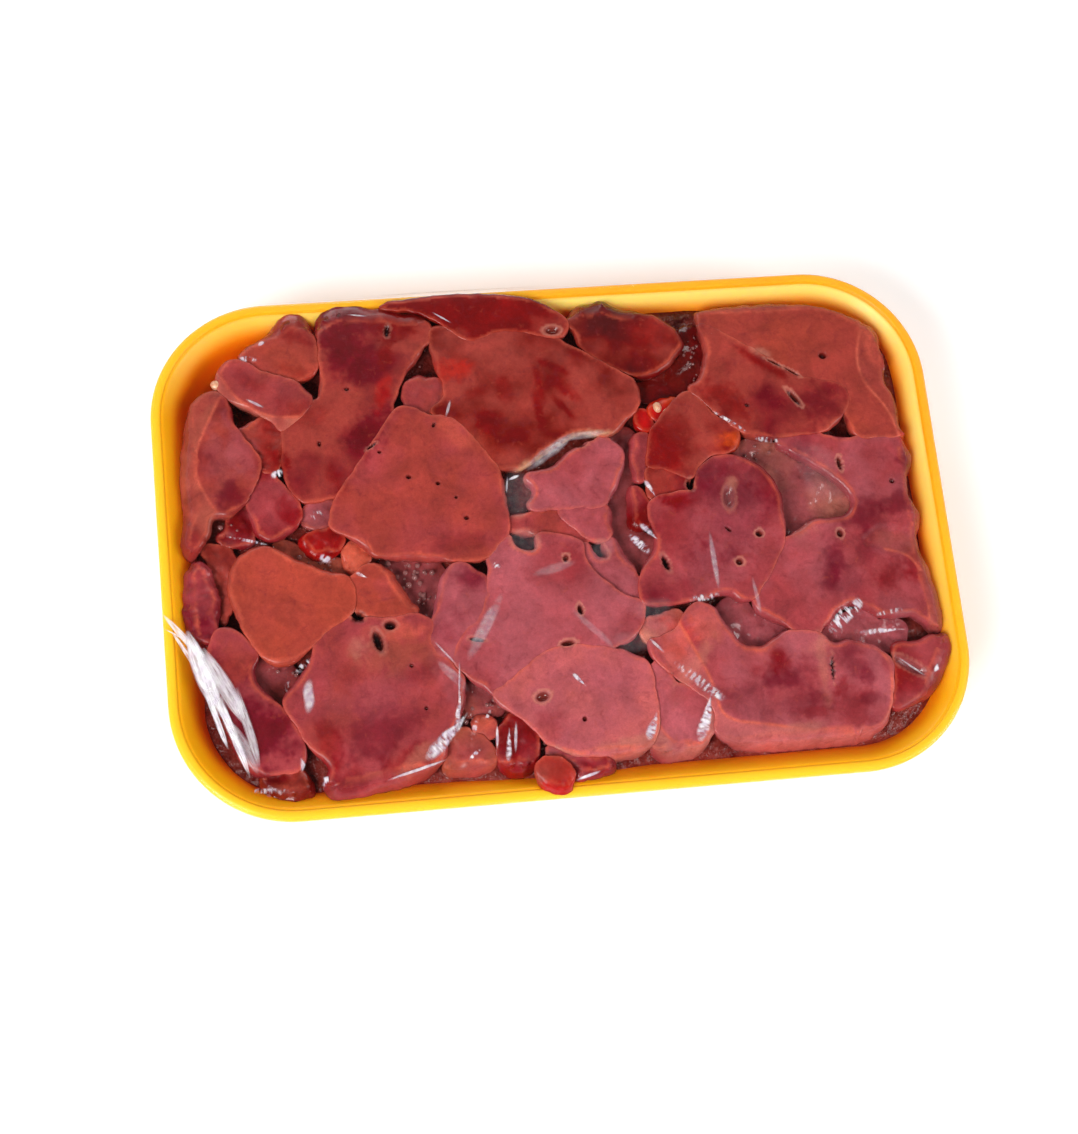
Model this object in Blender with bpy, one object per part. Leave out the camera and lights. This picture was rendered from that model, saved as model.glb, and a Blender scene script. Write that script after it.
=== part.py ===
"""A foam tray of raw chicken livers under clear stretch film.

The livers lie in one visible layer, pressed flat against the film from below, on a lower layer that
fills the tray. Sizes are in millimetres and are turned into metres where a mesh is made. X runs along
the tray, Y across it, and Z is up, with the origin at the middle of the underside.
"""

import math

import bmesh
import bpy
import numpy as np
from mathutils import Vector
from mathutils.geometry import delaunay_2d_cdt, interpolate_bezier

METRES = 0.001

# Tray, over the edge of its rim
LENGTH = 225.0
WIDTH = 150.0
CORNER_RADIUS = 34.0
RIM_TOP = 28.0

# Film, as thick as a closed solid needs and 0.35 clear of what it wraps
FILM_THICKNESS = 0.4
FILM_CLEARANCE = 0.35
FILM_HEM = 46.0

# Heap of livers, which swells over the rim
CROWN = 6.0
CROWN_SHARPNESS = 3.2
LAYER_THICKNESS = 12.0
BED_DEPTH = 13.7
CLEARANCE = 0.7
SEAM = 0.42

# Edge of a liver, tight where it is squeezed by a neighbour and full beside a gap or the wall
TIGHT_EDGE = 1.0
FULL_EDGE = 4.2
WALL_EDGE = 5.6
UNDERCUT = 2.6

# How far apart the points of an outline lie, by the reach of the piece
FINE_SPACING = 3.6
COARSE_SPACING = 4.7
LARGE_PERIMETER = 75.0
INNER_SPACING = 9.0

TRAY_BASE = FILM_THICKNESS + FILM_CLEARANCE

# Tray profile: (distance in from the rim's edge, height), the inside first, then the outside
TRAY_INSIDE = (
    (0.7, RIM_TOP - 0.15),
    (1.1, RIM_TOP),
    (2.6, RIM_TOP),
    (2.95, RIM_TOP - 0.75),
    (3.5, RIM_TOP - 0.7),
    (7.6, RIM_TOP - 4.6),
    (11.2, RIM_TOP - 10.6),
    (13.8, RIM_TOP - 17.6),
    (16.0, TRAY_BASE + 4.6),
    (20.0, TRAY_BASE + 3.4),
)
TRAY_OUTSIDE = (
    (0.0, RIM_TOP - 0.9),
    (0.0, RIM_TOP - 2.9),
    (0.7, RIM_TOP - 3.7),
    (3.4, RIM_TOP - 4.3),
    (6.6, RIM_TOP - 11.0),
    (9.8, RIM_TOP - 19.0),
    (12.6, TRAY_BASE + 1.6),
    (15.4, TRAY_BASE),
)

# Places where a liver lies over the rim and lifts the film: (x, y, reach along, reach across, height)
RIM_LIFTS = (
    (-22.0, 73.0, 26.0, 8.0, 1.9),
    (-9.5, -72.0, 22.0, 8.0, 1.9),
)

# Livers as (name, depth below the film, outline), clockwise from a corner at the far left
LIVERS = (
    ("liver_left", 0.0, (
        (-95, 49), (-90.5, 45), (-89, 37), (-83, 28.5), (-83, 21), (-87, 15), (-93, 10.5),
        (-97.5, 11), (-98.5, 6.5), (-104.7, 1), (-105, 14), (-105.2, 25), (-104, 36), (-101.5, 45))),
    ("liver_far_left_slant", 0.0, (
        (-93.5, 52), (-90, 57.8), (-86, 57.3), (-80.8, 53.6), (-72.5, 50.2), (-68, 46),
        (-66.8, 42.2), (-75.5, 34.9), (-79.5, 38.5), (-85, 42.3), (-92, 47.5))),
    ("liver_far_left_dark", 0.0, (
        (-64.4, 67.5), (-62.5, 71), (-58.5, 72.2), (-50, 72), (-39, 69.5), (-33, 68), (-31.8, 64),
        (-35.6, 54.8), (-40.5, 49), (-43.5, 42), (-50, 30), (-55, 24.5), (-62, 15.2),
        (-71.5, 13.3), (-76, 20), (-75.6, 34.5), (-66.4, 42.2), (-64.2, 50), (-63.9, 60))),
    ("liver_far_left_small", 0.6, (
        (-65, 67), (-67.6, 70.5), (-72, 71.2), (-77, 67.8), (-82, 63), (-86.3, 60), (-83, 56),
        (-76, 52.2), (-71, 50.4), (-65.5, 51.5), (-64.4, 58))),
    ("liver_over_far_rim", 0.0, (
        (-46.4, 71), (-40, 73), (-30, 73.9), (-18, 73.8), (-6, 72.2), (1, 70), (7, 65.5),
        (8.4, 61.5), (5, 57.7), (-4, 60), (-12, 61), (-20, 58.5), (-26, 62), (-33, 67.2),
        (-38.5, 68.9))),
    ("liver_middle_broad", 0.0, (
        (-42, 39.5), (-38, 39), (-34, 35.8), (-28.4, 35.2), (-22, 27), (-16.2, 18), (-15.6, 10),
        (-15.3, 0), (-19.5, -4), (-23, -7.7), (-31, -7.2), (-41, -6), (-54, -3.8), (-57.6, 0.5),
        (-65, 5.8), (-62, 15), (-55, 24.5), (-47, 35.5))),
    ("liver_far_middle", 0.0, (
        (-30.3, 65), (-22.5, 58.6), (-12, 60.8), (-4, 59.8), (5, 57), (13, 52), (22.8, 45),
        (26.2, 41), (25.8, 35.5), (22, 31), (16.5, 26), (8, 27.8), (-1, 23.5), (-10, 18.4),
        (-15.5, 18.8), (-21.8, 27.4), (-28.2, 35.4), (-33.7, 36.6), (-29.5, 43), (-31.3, 51))),
    ("liver_far_middle_dark", 0.3, (
        (8.8, 65), (11, 68.6), (14, 68.4), (17.5, 70.4), (24, 68), (31, 66), (38.3, 59.7),
        (41.6, 54.5), (36.4, 47.6), (31, 44.2), (25, 44.6), (18, 48), (11, 55), (9.8, 60))),
    ("liver_far_right", 0.0, (
        (46.3, 60.5), (46.5, 63.5), (52, 65.8), (65, 66.8), (80, 65.5), (92, 61.5), (100.8, 56),
        (100.6, 46), (100.2, 38), (103.6, 32), (103.2, 26), (104, 21.8), (95, 21.6), (88, 22.5),
        (87, 30.5), (89, 34.5), (85.5, 39.3), (74, 42), (65.5, 48), (56, 55))),
    ("liver_far_right_inner", 0.0, (
        (46.8, 59.6), (47, 50), (44, 42), (40.5, 39.3), (46.5, 32.3), (57, 23.5), (75, 23.2),
        (83, 26.5), (88, 34), (85, 38.3), (74, 41.2), (65, 47.6), (56, 54.5))),
    ("liver_right", 0.0, (
        (65, 21.8), (75, 22.8), (90, 21.2), (103.5, 20.3), (104.5, 13), (101.5, 6), (105.3, -1.5),
        (103, -8), (105.3, -20), (105, -36), (97, -32), (88.5, -32), (81, -28), (75, -29.8),
        (69, -35), (60, -33), (53, -29), (51.5, -25), (57.5, -17.5), (63.2, -7.8), (72, -2),
        (80.4, -1.6), (84, 3), (79, 9), (74, 13.3), (67.5, 17.4))),
    ("liver_orange_tip", 0.3, (
        (26.3, 22), (28.8, 28), (40.5, 38.8), (46.3, 31.8), (53.8, 24.5), (51.5, 19.4),
        (46, 18.7), (42.4, 17.4), (39.5, 13), (36, 11.6), (32, 15), (26, 16))),
    ("liver_orange_tip_small", 0.6, (
        (26, 15), (32.4, 14.2), (36.3, 9.5), (30, 8), (26, 8), (25.5, 12))),
    ("liver_middle_right", 0.0, (
        (25, 5.3), (30.8, 7.8), (38.2, 8.8), (39, 12.6), (43, 17), (49, 18), (58, 15.4), (62.4, 8),
        (63.6, 0), (62.5, -8.3), (54, -21.8), (49.5, -26), (46, -22.6), (33, -24), (19.5, -23.6),
        (19, -16.4), (25.6, -6), (24.3, 2))),
    ("liver_middle_pale", 0.0, (
        (-7.6, -1.2), (-1, -1.8), (4.7, -5), (6, -11.8), (9, -15.5), (18, -22.5), (19.6, -28),
        (15, -33.5), (8, -34.8), (-4, -33.4), (-11, -35.8), (-24.5, -45.2), (-31, -40),
        (-33.9, -36), (-31.5, -30), (-24.5, -23.5), (-22, -14), (-22, -8.5), (-15.3, -1.6),
        (-12, -5.8), (-8.5, -5.3))),
    ("liver_middle_lens", 0.8, (
        (-15, 2.5), (-11, 5.1), (-3, 4.5), (2, 1), (6, -4), (0, -2), (-8, -0.5), (-13.5, 0.5))),
    ("liver_near_right", 0.0, (
        (20.3, -34.3), (27, -32), (33.4, -25), (38.6, -25.6), (46, -36.5), (50, -38.3),
        (58, -34.6), (68.8, -35.8), (72, -38.6), (79, -38), (88, -43.5), (88.5, -51), (86, -60.5),
        (80, -65.6), (65, -66.4), (46, -65.8), (36.6, -61.6), (36, -54), (28, -46.3), (21, -39.3))),
    ("liver_middle_lilac", 0.2, (
        (-9.4, 16.3), (-2, 18), (6, 23.8), (16.8, 24.9), (19.5, 21), (17.5, 13.5), (12.5, 6.9),
        (0, 6.6), (-9.8, 5.8), (-7.3, 11))),
    ("liver_middle_lilac_small", 0.5, (
        (0.2, 6.1), (12, 6.2), (13.3, 3), (12.6, -3.4), (6.8, -4), (-0.6, 4))),
    ("liver_middle_wedge", 0.6, (
        (5.5, -5.5), (6.2, -11.5), (9, -15), (18.6, -22.3), (18.2, -13.5), (12.8, -4.2),
        (9.5, -9.6))),
    ("liver_near_middle", 0.0, (
        (-24.3, -45.8), (-11, -36.2), (-4, -33.9), (8, -35.2), (19.3, -40.2), (21, -47),
        (19.9, -61.5), (17.5, -64), (2, -65.8), (-12, -59.2), (-15.5, -54.2), (-22.5, -49))),
    ("liver_left_lilac", 0.2, (
        (-31.5, -8), (-25, -10.8), (-22.6, -15), (-25.2, -24), (-32, -30.5), (-34.2, -36.8),
        (-40.8, -30.8), (-38, -20), (-35.6, -12))),
    ("liver_near_narrow", 0.4, (
        (20.6, -40.8), (25.2, -45.8), (35.2, -53.2), (34.5, -61.5), (31.5, -66), (18.8, -65.2),
        (21.2, -56))),
    ("liver_small_bridge", 0.8, (
        (19.8, -28.7), (28.4, -26.6), (30, -28.2), (26.5, -32), (19.3, -32.8))),
    ("liver_near_right_corner", 0.5, (
        (89.2, -46.5), (90, -39.8), (97, -39.5), (106.5, -37), (106.5, -44), (101.8, -52.5),
        (98, -55.5), (87.3, -58.4), (88.8, -52))),
    ("liver_near_left_broad", 0.0, (
        (-61, -21.4), (-52, -22), (-43, -21.4), (-40, -24), (-41, -31), (-34.3, -37.6),
        (-31.3, -42), (-34, -52), (-41, -63.8), (-48, -67.2), (-68, -69.8), (-72.5, -67),
        (-70.2, -62), (-75.5, -55.5), (-81.8, -43.2), (-76, -35.8), (-68.3, -25))),
    ("liver_orange", 0.0, (
        (-90, -0.2), (-84.4, 1.5), (-79, -0.3), (-72, -4.8), (-60.5, -10), (-59.8, -18.5),
        (-62, -21), (-68.3, -24.4), (-76, -31), (-82, -33), (-87.4, -28), (-92.4, -17.2),
        (-94, -6))),
    ("liver_orange_small", 0.2, (
        (-59, -9), (-54.4, -6.4), (-49.6, -8.8), (-44.5, -18), (-43.3, -20.8), (-52, -21.4),
        (-58.8, -19.5))),
    ("liver_near_left_edge", 0.6, (
        (-96.5, -20), (-92.8, -21.6), (-87, -29), (-88.6, -34.5), (-82.8, -42.4), (-78, -49.4),
        (-76.6, -60), (-80, -62.6), (-91, -61), (-97.5, -48), (-101.5, -32), (-100, -24))),
    ("liver_near_left_scrap", 2.4, (
        (-88, -62.4), (-77.5, -62), (-75.4, -64.5), (-76, -68), (-84, -67.6), (-89.5, -64))),
    ("liver_left_edge", 0.8, (
        (-104.6, -2), (-100.2, -1.4), (-97, -12), (-98.6, -19.5), (-102.5, -24), (-105.6, -20),
        (-106, -11))),
    ("liver_left_under", 4.0, (
        (-99, 3.5), (-92.2, 1.2), (-94.6, -8), (-95.6, -18), (-96.5, -12), (-98.5, -2))),
    ("liver_left_knob", 0.8, (
        (-87, 36.5), (-81, 38.3), (-76.5, 35), (-76.8, 26.5), (-80, 23), (-84, 30))),
    ("liver_left_round", 1.0, (
        (-78.5, 20.2), (-74, 15), (-73, 9), (-79.5, 3.8), (-85, 6), (-86.3, 15), (-82.3, 23.4))),
    ("liver_left_wet", 4.0, (
        (-93, 9.5), (-91.5, 12.4), (-87, 13), (-86, 5), (-90, 3.5), (-96, 6))),
    ("liver_left_grey", 2.0, (
        (-72, 11.3), (-64, 12.5), (-64.2, 9), (-69.5, 5.8))),
    ("liver_left_bright", 1.8, (
        (-73.2, 3.4), (-69, 5), (-64.5, 4), (-61.6, 1.5), (-66, -2.4), (-71.6, -0.5))),
    ("liver_left_tag", 2.4, (
        (-61.2, -0.8), (-57.4, -0.6), (-55.4, -4.4), (-60, -8), (-62, -3.6))),
    ("liver_far_knob", 1.0, (
        (-39.4, 47.3), (-34.4, 48.6), (-29.8, 45.3), (-33.9, 37.6), (-40.5, 40.2))),
    ("liver_sliver_near", 2.0, (
        (21, 11.5), (24.2, 7.5), (23.6, 0), (19.8, -0.5), (19.8, 4))),
    ("liver_sliver_far", 2.2, (
        (21.9, 24.5), (24, 27.2), (27, 26), (25.2, 18), (24.6, 12.5), (22.2, 14))),
    ("liver_bright_bead", 1.6, (
        (24.3, 30.5), (26, 34), (28.4, 31), (26.4, 28.2))),
    ("liver_bright_shred", 1.0, (
        (28.8, 33.5), (31, 36.5), (36, 36.6), (33.5, 33.6), (31, 31.6))),
    ("liver_near_tan", 2.4, (
        (-36, -54), (-31, -54.5), (-26, -59.2), (-25.3, -64), (-31, -66), (-39, -64.6),
        (-38.4, -60.6))),
    ("liver_near_red", 2.6, (
        (-29.8, -50.9), (-26, -50.6), (-24.2, -54.6), (-26, -57.2), (-29.6, -55.5))),
    ("liver_near_dark", 1.4, (
        (-20, -52.4), (-15.4, -55.8), (-13.6, -63), (-16, -67), (-22, -67), (-24, -64),
        (-23.2, -56))),
    ("liver_over_near_rim", 0.0, (
        (-12.4, -64.6), (-7, -65.4), (-4.3, -70.5), (-6.2, -73.2), (-12, -72.2), (-14.6, -67.6))),
    ("liver_near_strip", 1.4, (
        (-10, -62), (-1.5, -65.8), (8, -67.4), (3, -69.4), (-3.3, -70), (-5.8, -65.8))),
    ("under_far_right", 5.0, (
        (43.5, 61), (46.4, 58), (46.2, 50), (43.5, 43.5), (39.5, 40), (36.5, 37.5), (28.5, 38.5),
        (27, 43), (31, 43.3), (37, 46.8), (42, 52), (42.3, 56))),
    ("under_right", 4.6, (
        (54.5, 20.8), (60, 22.3), (66, 19.5), (76.5, 12.6), (83, 5.6), (83.4, 1), (78, -1.8),
        (70.6, -2.4), (64, -6.5), (64, 3), (61, 12), (54, 18))),
    ("under_near_right", 4.6, (
        (41.5, -26), (47, -25), (53, -29.6), (59, -33.3), (50, -37.8), (46.2, -36))),
    ("under_right_corner", 3.6, (
        (71.5, -36.4), (76, -31.4), (82, -29.6), (88, -33), (95, -34), (92, -38.6), (84, -40),
        (78, -37))),
    ("under_left_middle", 5.4, (
        (-51, -6.2), (-35, -8.4), (-37.5, -13), (-39.5, -21), (-42.8, -20), (-46, -13),
        (-49, -8.5))),
    ("under_middle", 4.8, (
        (17.5, 27.5), (21, 29.6), (23.6, 28), (21.4, 19), (22, 13.5), (19.2, 10), (19.2, -1),
        (24, -3.5), (24.6, -6), (19.5, -13), (18.6, -12), (14.5, -5), (14, 3), (13.5, 6),
        (18.8, 13), (20.5, 20.5))),
    ("under_left", 4.6, (
        (-79.5, 3), (-74, 0.5), (-72, -2.2), (-62.5, -4), (-60.5, -8.5), (-64, -8.3), (-72, -4.3),
        (-77.5, -1))),
    ("under_near_left", 4.6, (
        (-86.4, -31), (-82, -33.5), (-77, -32.8), (-79, -37.5), (-82.4, -42), (-87.6, -37),
        (-88, -33.4))),
    ("under_near_middle", 5.0, (
        (-30.5, -41.4), (-25, -46), (-22.2, -49.5), (-25, -50), (-30, -50), (-32.8, -51),
        (-32.4, -46))),
)

COLOURS = {
    "tray": (0.93, 0.42, 0.03),
    "film": (0.92, 0.92, 0.94),
    "liver_bed": (0.12, 0.02, 0.016),
    "orange": (0.46, 0.075, 0.035),
    "dark": (0.17, 0.018, 0.02),
    "lilac": (0.42, 0.09, 0.1),
    "under": (0.14, 0.035, 0.03),
    "liver": (0.34, 0.055, 0.045),
}
GLOSSY = 0.3


def depth_inside(x, y):
    """How far inside the outer edge of the tray's rim a point lies."""
    over_x = np.abs(x) - (LENGTH / 2 - CORNER_RADIUS)
    over_y = np.abs(y) - (WIDTH / 2 - CORNER_RADIUS)
    round_part = np.hypot(np.maximum(over_x, 0), np.maximum(over_y, 0))
    return CORNER_RADIUS - round_part - np.minimum(np.maximum(over_x, over_y), 0)


def tray_surface(x, y):
    """Height of the tray's inside."""
    distances, heights = zip(*TRAY_INSIDE)
    return np.interp(depth_inside(x, y), distances, heights)


def heap_top(x, y):
    """Height to which the livers reach, just under the film."""
    along = np.minimum(np.abs(x) / (LENGTH / 2), 1) ** CROWN_SHARPNESS
    across = np.minimum(np.abs(y) / (WIDTH / 2), 1) ** CROWN_SHARPNESS
    top = RIM_TOP + CROWN * (1 - along) * (1 - across)
    for mid_x, mid_y, reach_x, reach_y, height in RIM_LIFTS:
        top = top + height * np.exp(-(((x - mid_x) / reach_x) ** 4) - ((y - mid_y) / reach_y) ** 2)
    return top


def turned_left(loop):
    """The loop in counterclockwise order."""
    following = np.roll(loop, -1, axis=0)
    area = np.sum(loop[:, 0] * following[:, 1] - loop[:, 1] * following[:, 0])
    return loop if area > 0 else loop[::-1]


def evenly_spaced(loop, spacing):
    """The closed loop with points at even steps along it."""
    closed = np.vstack([loop, loop[:1]])
    travelled = np.concatenate([[0], np.cumsum(np.hypot(*np.diff(closed, axis=0).T))])
    count = max(8, round(travelled[-1] / spacing))
    places = np.linspace(0, travelled[-1], count, endpoint=False)
    return np.column_stack([np.interp(places, travelled, closed[:, axis]) for axis in (0, 1)])


def smooth_loop(points):
    """A dense closed curve through the points of an outline."""
    loop = [Vector(point) for point in points]
    heading = [(loop[(i + 1) % len(loop)] - loop[i - 1]).normalized() for i in range(len(loop))]
    curve = []
    for i, start in enumerate(loop):
        end = loop[(i + 1) % len(loop)]
        reach = (end - start).length / 3
        leave = start + heading[i] * reach
        arrive = end - heading[(i + 1) % len(loop)] * reach
        curve += interpolate_bezier(start, leave, arrive, end, 10)[:-1]
    return turned_left(np.array([(point.x, point.y) for point in curve]))


def outline_of(points):
    """An outline at the spacing that suits the size of the piece."""
    curve = smooth_loop(points)
    perimeter = np.hypot(*(np.roll(curve, -1, axis=0) - curve).T).sum()
    return evenly_spaced(curve, COARSE_SPACING if perimeter > LARGE_PERIMETER else FINE_SPACING)


def nearest_on(loop, points):
    """For each point: nearest place on the loop, its distance, the side it is on and its share."""
    start = loop[None]
    step = np.roll(loop, -1, axis=0)[None] - start
    away = points[:, None] - start
    share = np.clip((away * step).sum(2) / (step**2).sum(2), 0, 1)
    place = start + share[..., None] * step
    distance = np.hypot(*np.moveaxis(points[:, None] - place, 2, 0))
    side = distance.argmin(1)
    row = np.arange(len(points))
    return place[row, side], distance[row, side], side, share[row, side]


def is_inside(loop, points):
    """Whether each point lies inside the loop, by counting the sides that it would cross."""
    x, y = points[:, 0, None], points[:, 1, None]
    start, end = loop, np.roll(loop, -1, axis=0)
    spans = (start[:, 1] > y) != (end[:, 1] > y)
    rise = np.where(end[:, 1] == start[:, 1], 1, end[:, 1] - start[:, 1])
    crossing = start[:, 0] + (y - start[:, 1]) * (end[:, 0] - start[:, 0]) / rise
    return (spans & (x < crossing)).sum(1) % 2 == 1


def push_apart(mover, other):
    """Moves both loops so that the first one's points end up a seam away from the second."""
    place, distance, side, share = nearest_on(other, mover)
    inside = is_inside(other, mover)
    missing = np.where(inside, distance + SEAM, SEAM - distance)
    for i in np.flatnonzero(missing > 0.01):
        away = (place[i] - mover[i]) * (1 if inside[i] else -1)
        length = np.hypot(*away)
        if length < 1e-6:
            continue
        push = away / length * missing[i] / 2
        mover[i] += push
        following = (side[i] + 1) % len(other)
        other[side[i]] -= push * (1 - share[i])
        other[following] -= push * share[i]


def settle(outlines, rounds=40):
    """Presses the outlines against each other until no two of them cross."""
    for _ in range(rounds):
        boxes = [(loop.min(0) - SEAM, loop.max(0) + SEAM) for loop in outlines]
        for i, first in enumerate(outlines):
            for j in range(i + 1, len(outlines)):
                if (boxes[i][0] > boxes[j][1]).any() or (boxes[j][0] > boxes[i][1]).any():
                    continue
                push_apart(first, outlines[j])
                push_apart(outlines[j], first)


def inward(loop):
    """Unit vectors that point into a counterclockwise loop at its points."""
    along = np.roll(loop, -1, axis=0) - np.roll(loop, 1, axis=0)
    normal = np.column_stack([-along[:, 1], along[:, 0]])
    return normal / np.hypot(*normal.T)[:, None]


def width_ahead(loop, normals):
    """How far each point is from the other side of the loop, straight in."""
    widths = np.full(len(loop), 1e3)
    ends = np.roll(loop, -1, axis=0)
    for i, (point, normal) in enumerate(zip(loop, normals)):
        step = ends - loop
        away = loop - point
        cross = normal[0] * step[:, 1] - normal[1] * step[:, 0]
        cross = np.where(np.abs(cross) < 1e-9, 1e-9, cross)
        reach = (away[:, 0] * step[:, 1] - away[:, 1] * step[:, 0]) / cross
        share = (away[:, 0] * normal[1] - away[:, 1] * normal[0]) / cross
        hits = reach[(reach > 0.05) & (share >= 0) & (share <= 1)]
        if len(hits):
            widths[i] = hits.min()
    return widths


def turn(a, b, c):
    """Twice the signed area of the triangles with corners a, b and c."""
    return (b[..., 0] - a[..., 0]) * (c[..., 1] - a[..., 1]) - (
        b[..., 1] - a[..., 1]
    ) * (c[..., 0] - a[..., 0])


def crossing_sides(loop):
    """The sides of the loop that cross another of its sides."""
    start, end = loop, np.roll(loop, -1, axis=0)
    a, b, c, d = start[:, None], end[:, None], start[None], end[None]
    cross = (turn(a, b, c) * turn(a, b, d) < 0) & (turn(c, d, a) * turn(c, d, b) < 0)
    return np.flatnonzero(cross.any(1))


def inset(loop, normals, amounts):
    """The loop moved in by an amount at each point, less where it would fold over itself."""
    amounts = amounts.copy()
    sides = np.roll(loop, -1, axis=0) - loop
    for _ in range(60):
        moved = loop + normals * amounts[:, None]
        turned = ((np.roll(moved, -1, axis=0) - moved) * sides).sum(1)
        folded = np.flatnonzero(turned < 0.12 * (sides**2).sum(1))
        folded = np.union1d(folded, crossing_sides(moved)).astype(int)
        if not len(folded):
            break
        for near in (0, 1):
            amounts[(folded + near) % len(loop)] *= 0.85
    return moved


def edge_radii(index, outlines, depths, widths):
    """How full the edge of a liver is at each point of its outline."""
    loop = outlines[index]
    clear = np.full(len(loop), 99.0)
    for j, other in enumerate(outlines):
        if j != index and depths[j] < depths[index] + 2.2:
            clear = np.minimum(clear, nearest_on(other, loop)[1])
    radii = np.interp(clear, (SEAM + 0.3, 4.0), (TIGHT_EDGE, FULL_EDGE))
    wall = np.interp(depth_inside(loop[:, 0], loop[:, 1]), (7, 12), (WALL_EDGE, TIGHT_EDGE))
    radii = np.minimum(np.maximum(radii, wall), 0.32 * widths)
    for _ in range(3):
        radii = np.minimum(radii, (np.roll(radii, 1) + radii + np.roll(radii, -1)) / 3 + 0.4)
    return np.maximum(radii, 0.35)


def inner_points(loop, spacing):
    """Points on a staggered grid inside the loop and well clear of it."""
    low, high = loop.min(0), loop.max(0)
    rows = np.arange(low[1] + spacing / 2, high[1], spacing * math.sqrt(3) / 2)
    grid = [
        (x, y)
        for i, y in enumerate(rows)
        for x in np.arange(low[0] + spacing / 2 * (1 + i % 2), high[0], spacing)
    ]
    if not grid:
        return np.empty((0, 2))
    grid = np.array(grid)
    kept = is_inside(loop, grid) & (nearest_on(loop, grid)[1] > 0.55 * spacing)
    return grid[kept]


def triangles_over(loop, inner):
    """Triangles that cover the loop, using its own points and the inner ones."""
    points = [Vector(point) for point in np.vstack([loop, inner])]
    sides = [(i, (i + 1) % len(loop)) for i in range(len(loop))]
    made = delaunay_2d_cdt(points, sides, [], 1, 1e-6)
    if len(made[0]) != len(points):
        raise ValueError("an edge crosses itself")
    origin = [sources[0] for sources in made[3]]
    return [tuple(origin[corner] for corner in face) for face in made[2]]


def join_rings(bm, lower, upper):
    """Faces between two rings of the same number of points, outward for a ring turned left."""
    for i in range(len(lower)):
        following = (i + 1) % len(lower)
        bm.faces.new((lower[i], lower[following], upper[following]))
        bm.faces.new((lower[i], upper[following], upper[i]))


def ring_of(bm, loop, heights):
    return [bm.verts.new((x * METRES, y * METRES, z * METRES)) for (x, y), z in zip(loop, heights)]


def add_object(name, bm, collection, colour, roughness=GLOSSY, alpha=1.0):
    bm.normal_update()
    mesh = bpy.data.meshes.new(name)
    bm.to_mesh(mesh)
    bm.free()
    mesh.shade_smooth()
    mesh.set_sharp_from_angle(angle=math.radians(50))
    material = bpy.data.materials.new(name)
    material.use_nodes = True
    shader = material.node_tree.nodes["Principled BSDF"]
    shader.inputs["Base Color"].default_value = (*colour, 1)
    shader.inputs["Roughness"].default_value = roughness
    shader.inputs["Metallic"].default_value = 0
    shader.inputs["Alpha"].default_value = alpha
    mesh.materials.append(material)
    obj = bpy.data.objects.new(name, mesh)
    collection.objects.link(obj)
    return obj


def add_liver(index, outlines, collection):
    """A liver lobe: flat against the film, full at its edge, and drawn in underneath."""
    name, depth, _ = LIVERS[index]
    loop = outlines[index]
    normals = inward(loop)
    widths = width_ahead(loop, normals)
    radii = edge_radii(index, outlines, [liver[1] for liver in LIVERS], widths)
    drop = np.minimum(radii * 1.1, 0.55 * (LAYER_THICKNESS - depth))
    face = inset(loop, normals, radii)
    shoulder = inset(loop, normals, 0.3 * radii)
    foot = inset(loop, normals, np.minimum(UNDERCUT, 0.26 * widths))

    def resting(points, below):
        x, y = points[:, 0], points[:, 1]
        return np.maximum(heap_top(x, y) - below, tray_surface(x, y) + CLEARANCE)

    inner = inner_points(face, INNER_SPACING)
    bm = bmesh.new()
    top_ring = ring_of(bm, face, resting(face, depth))
    top_inner = ring_of(bm, inner, resting(inner, depth)) if len(inner) else []
    shoulder_ring = ring_of(bm, shoulder, resting(shoulder, depth + 0.3 * drop))
    girth_ring = ring_of(bm, loop, resting(loop, depth + drop))
    foot_ring = ring_of(bm, foot, resting(foot, LAYER_THICKNESS) + 0.15)
    join_rings(bm, foot_ring, girth_ring)
    join_rings(bm, girth_ring, shoulder_ring)
    join_rings(bm, shoulder_ring, top_ring)
    top = top_ring + top_inner
    for corners in triangles_over(face, inner):
        bm.faces.new([top[corner] for corner in corners])
    for corners in triangles_over(foot, np.empty((0, 2))):
        bm.faces.new([foot_ring[corner] for corner in reversed(corners)])
    kind = next((key for key in COLOURS if key in name.split("_")), "liver")
    add_object(name, bm, collection, COLOURS[kind])


def rim_loop(distance):
    """The tray's outline, a rounded rectangle, at a distance in from the rim's edge."""
    radius = CORNER_RADIUS - distance
    mid_x, mid_y = LENGTH / 2 - CORNER_RADIUS, WIDTH / 2 - CORNER_RADIUS
    loop = []
    for quarter, (sign_x, sign_y) in enumerate(((1, 1), (-1, 1), (-1, -1), (1, -1))):
        for step in range(7):
            angle = math.radians(90 * quarter + 15 * step)
            x = sign_x * mid_x + radius * math.cos(angle)
            y = sign_y * mid_y + radius * math.sin(angle)
            loop.append((x, y))
        along_x = quarter % 2 == 0
        parts = 8 if along_x else 4
        for step in range(1, parts):
            share = step / parts
            if along_x:
                loop.append((sign_x * mid_x * (1 - 2 * share), loop[-1][1]))
            else:
                loop.append((loop[-1][0], sign_y * mid_y * (1 - 2 * share)))
    return np.array(loop)


def add_tray(collection):
    """The foam tray: a loft through its profile, closed by the floor and the underside."""
    bm = bmesh.new()
    outside = [ring_of(bm, rim_loop(distance), [z] * 48) for distance, z in TRAY_OUTSIDE]
    inside = [ring_of(bm, rim_loop(distance), [z] * 48) for distance, z in TRAY_INSIDE]
    rings = outside[::-1] + inside
    for lower, upper in zip(rings, rings[1:]):
        join_rings(bm, lower, upper)
    bm.faces.new(rings[0][::-1])
    bm.faces.new(rings[-1])
    bmesh.ops.triangulate(bm, faces=[face for face in bm.faces if len(face.verts) > 4])
    add_object("tray", bm, collection, COLOURS["tray"], roughness=0.55)


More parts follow.
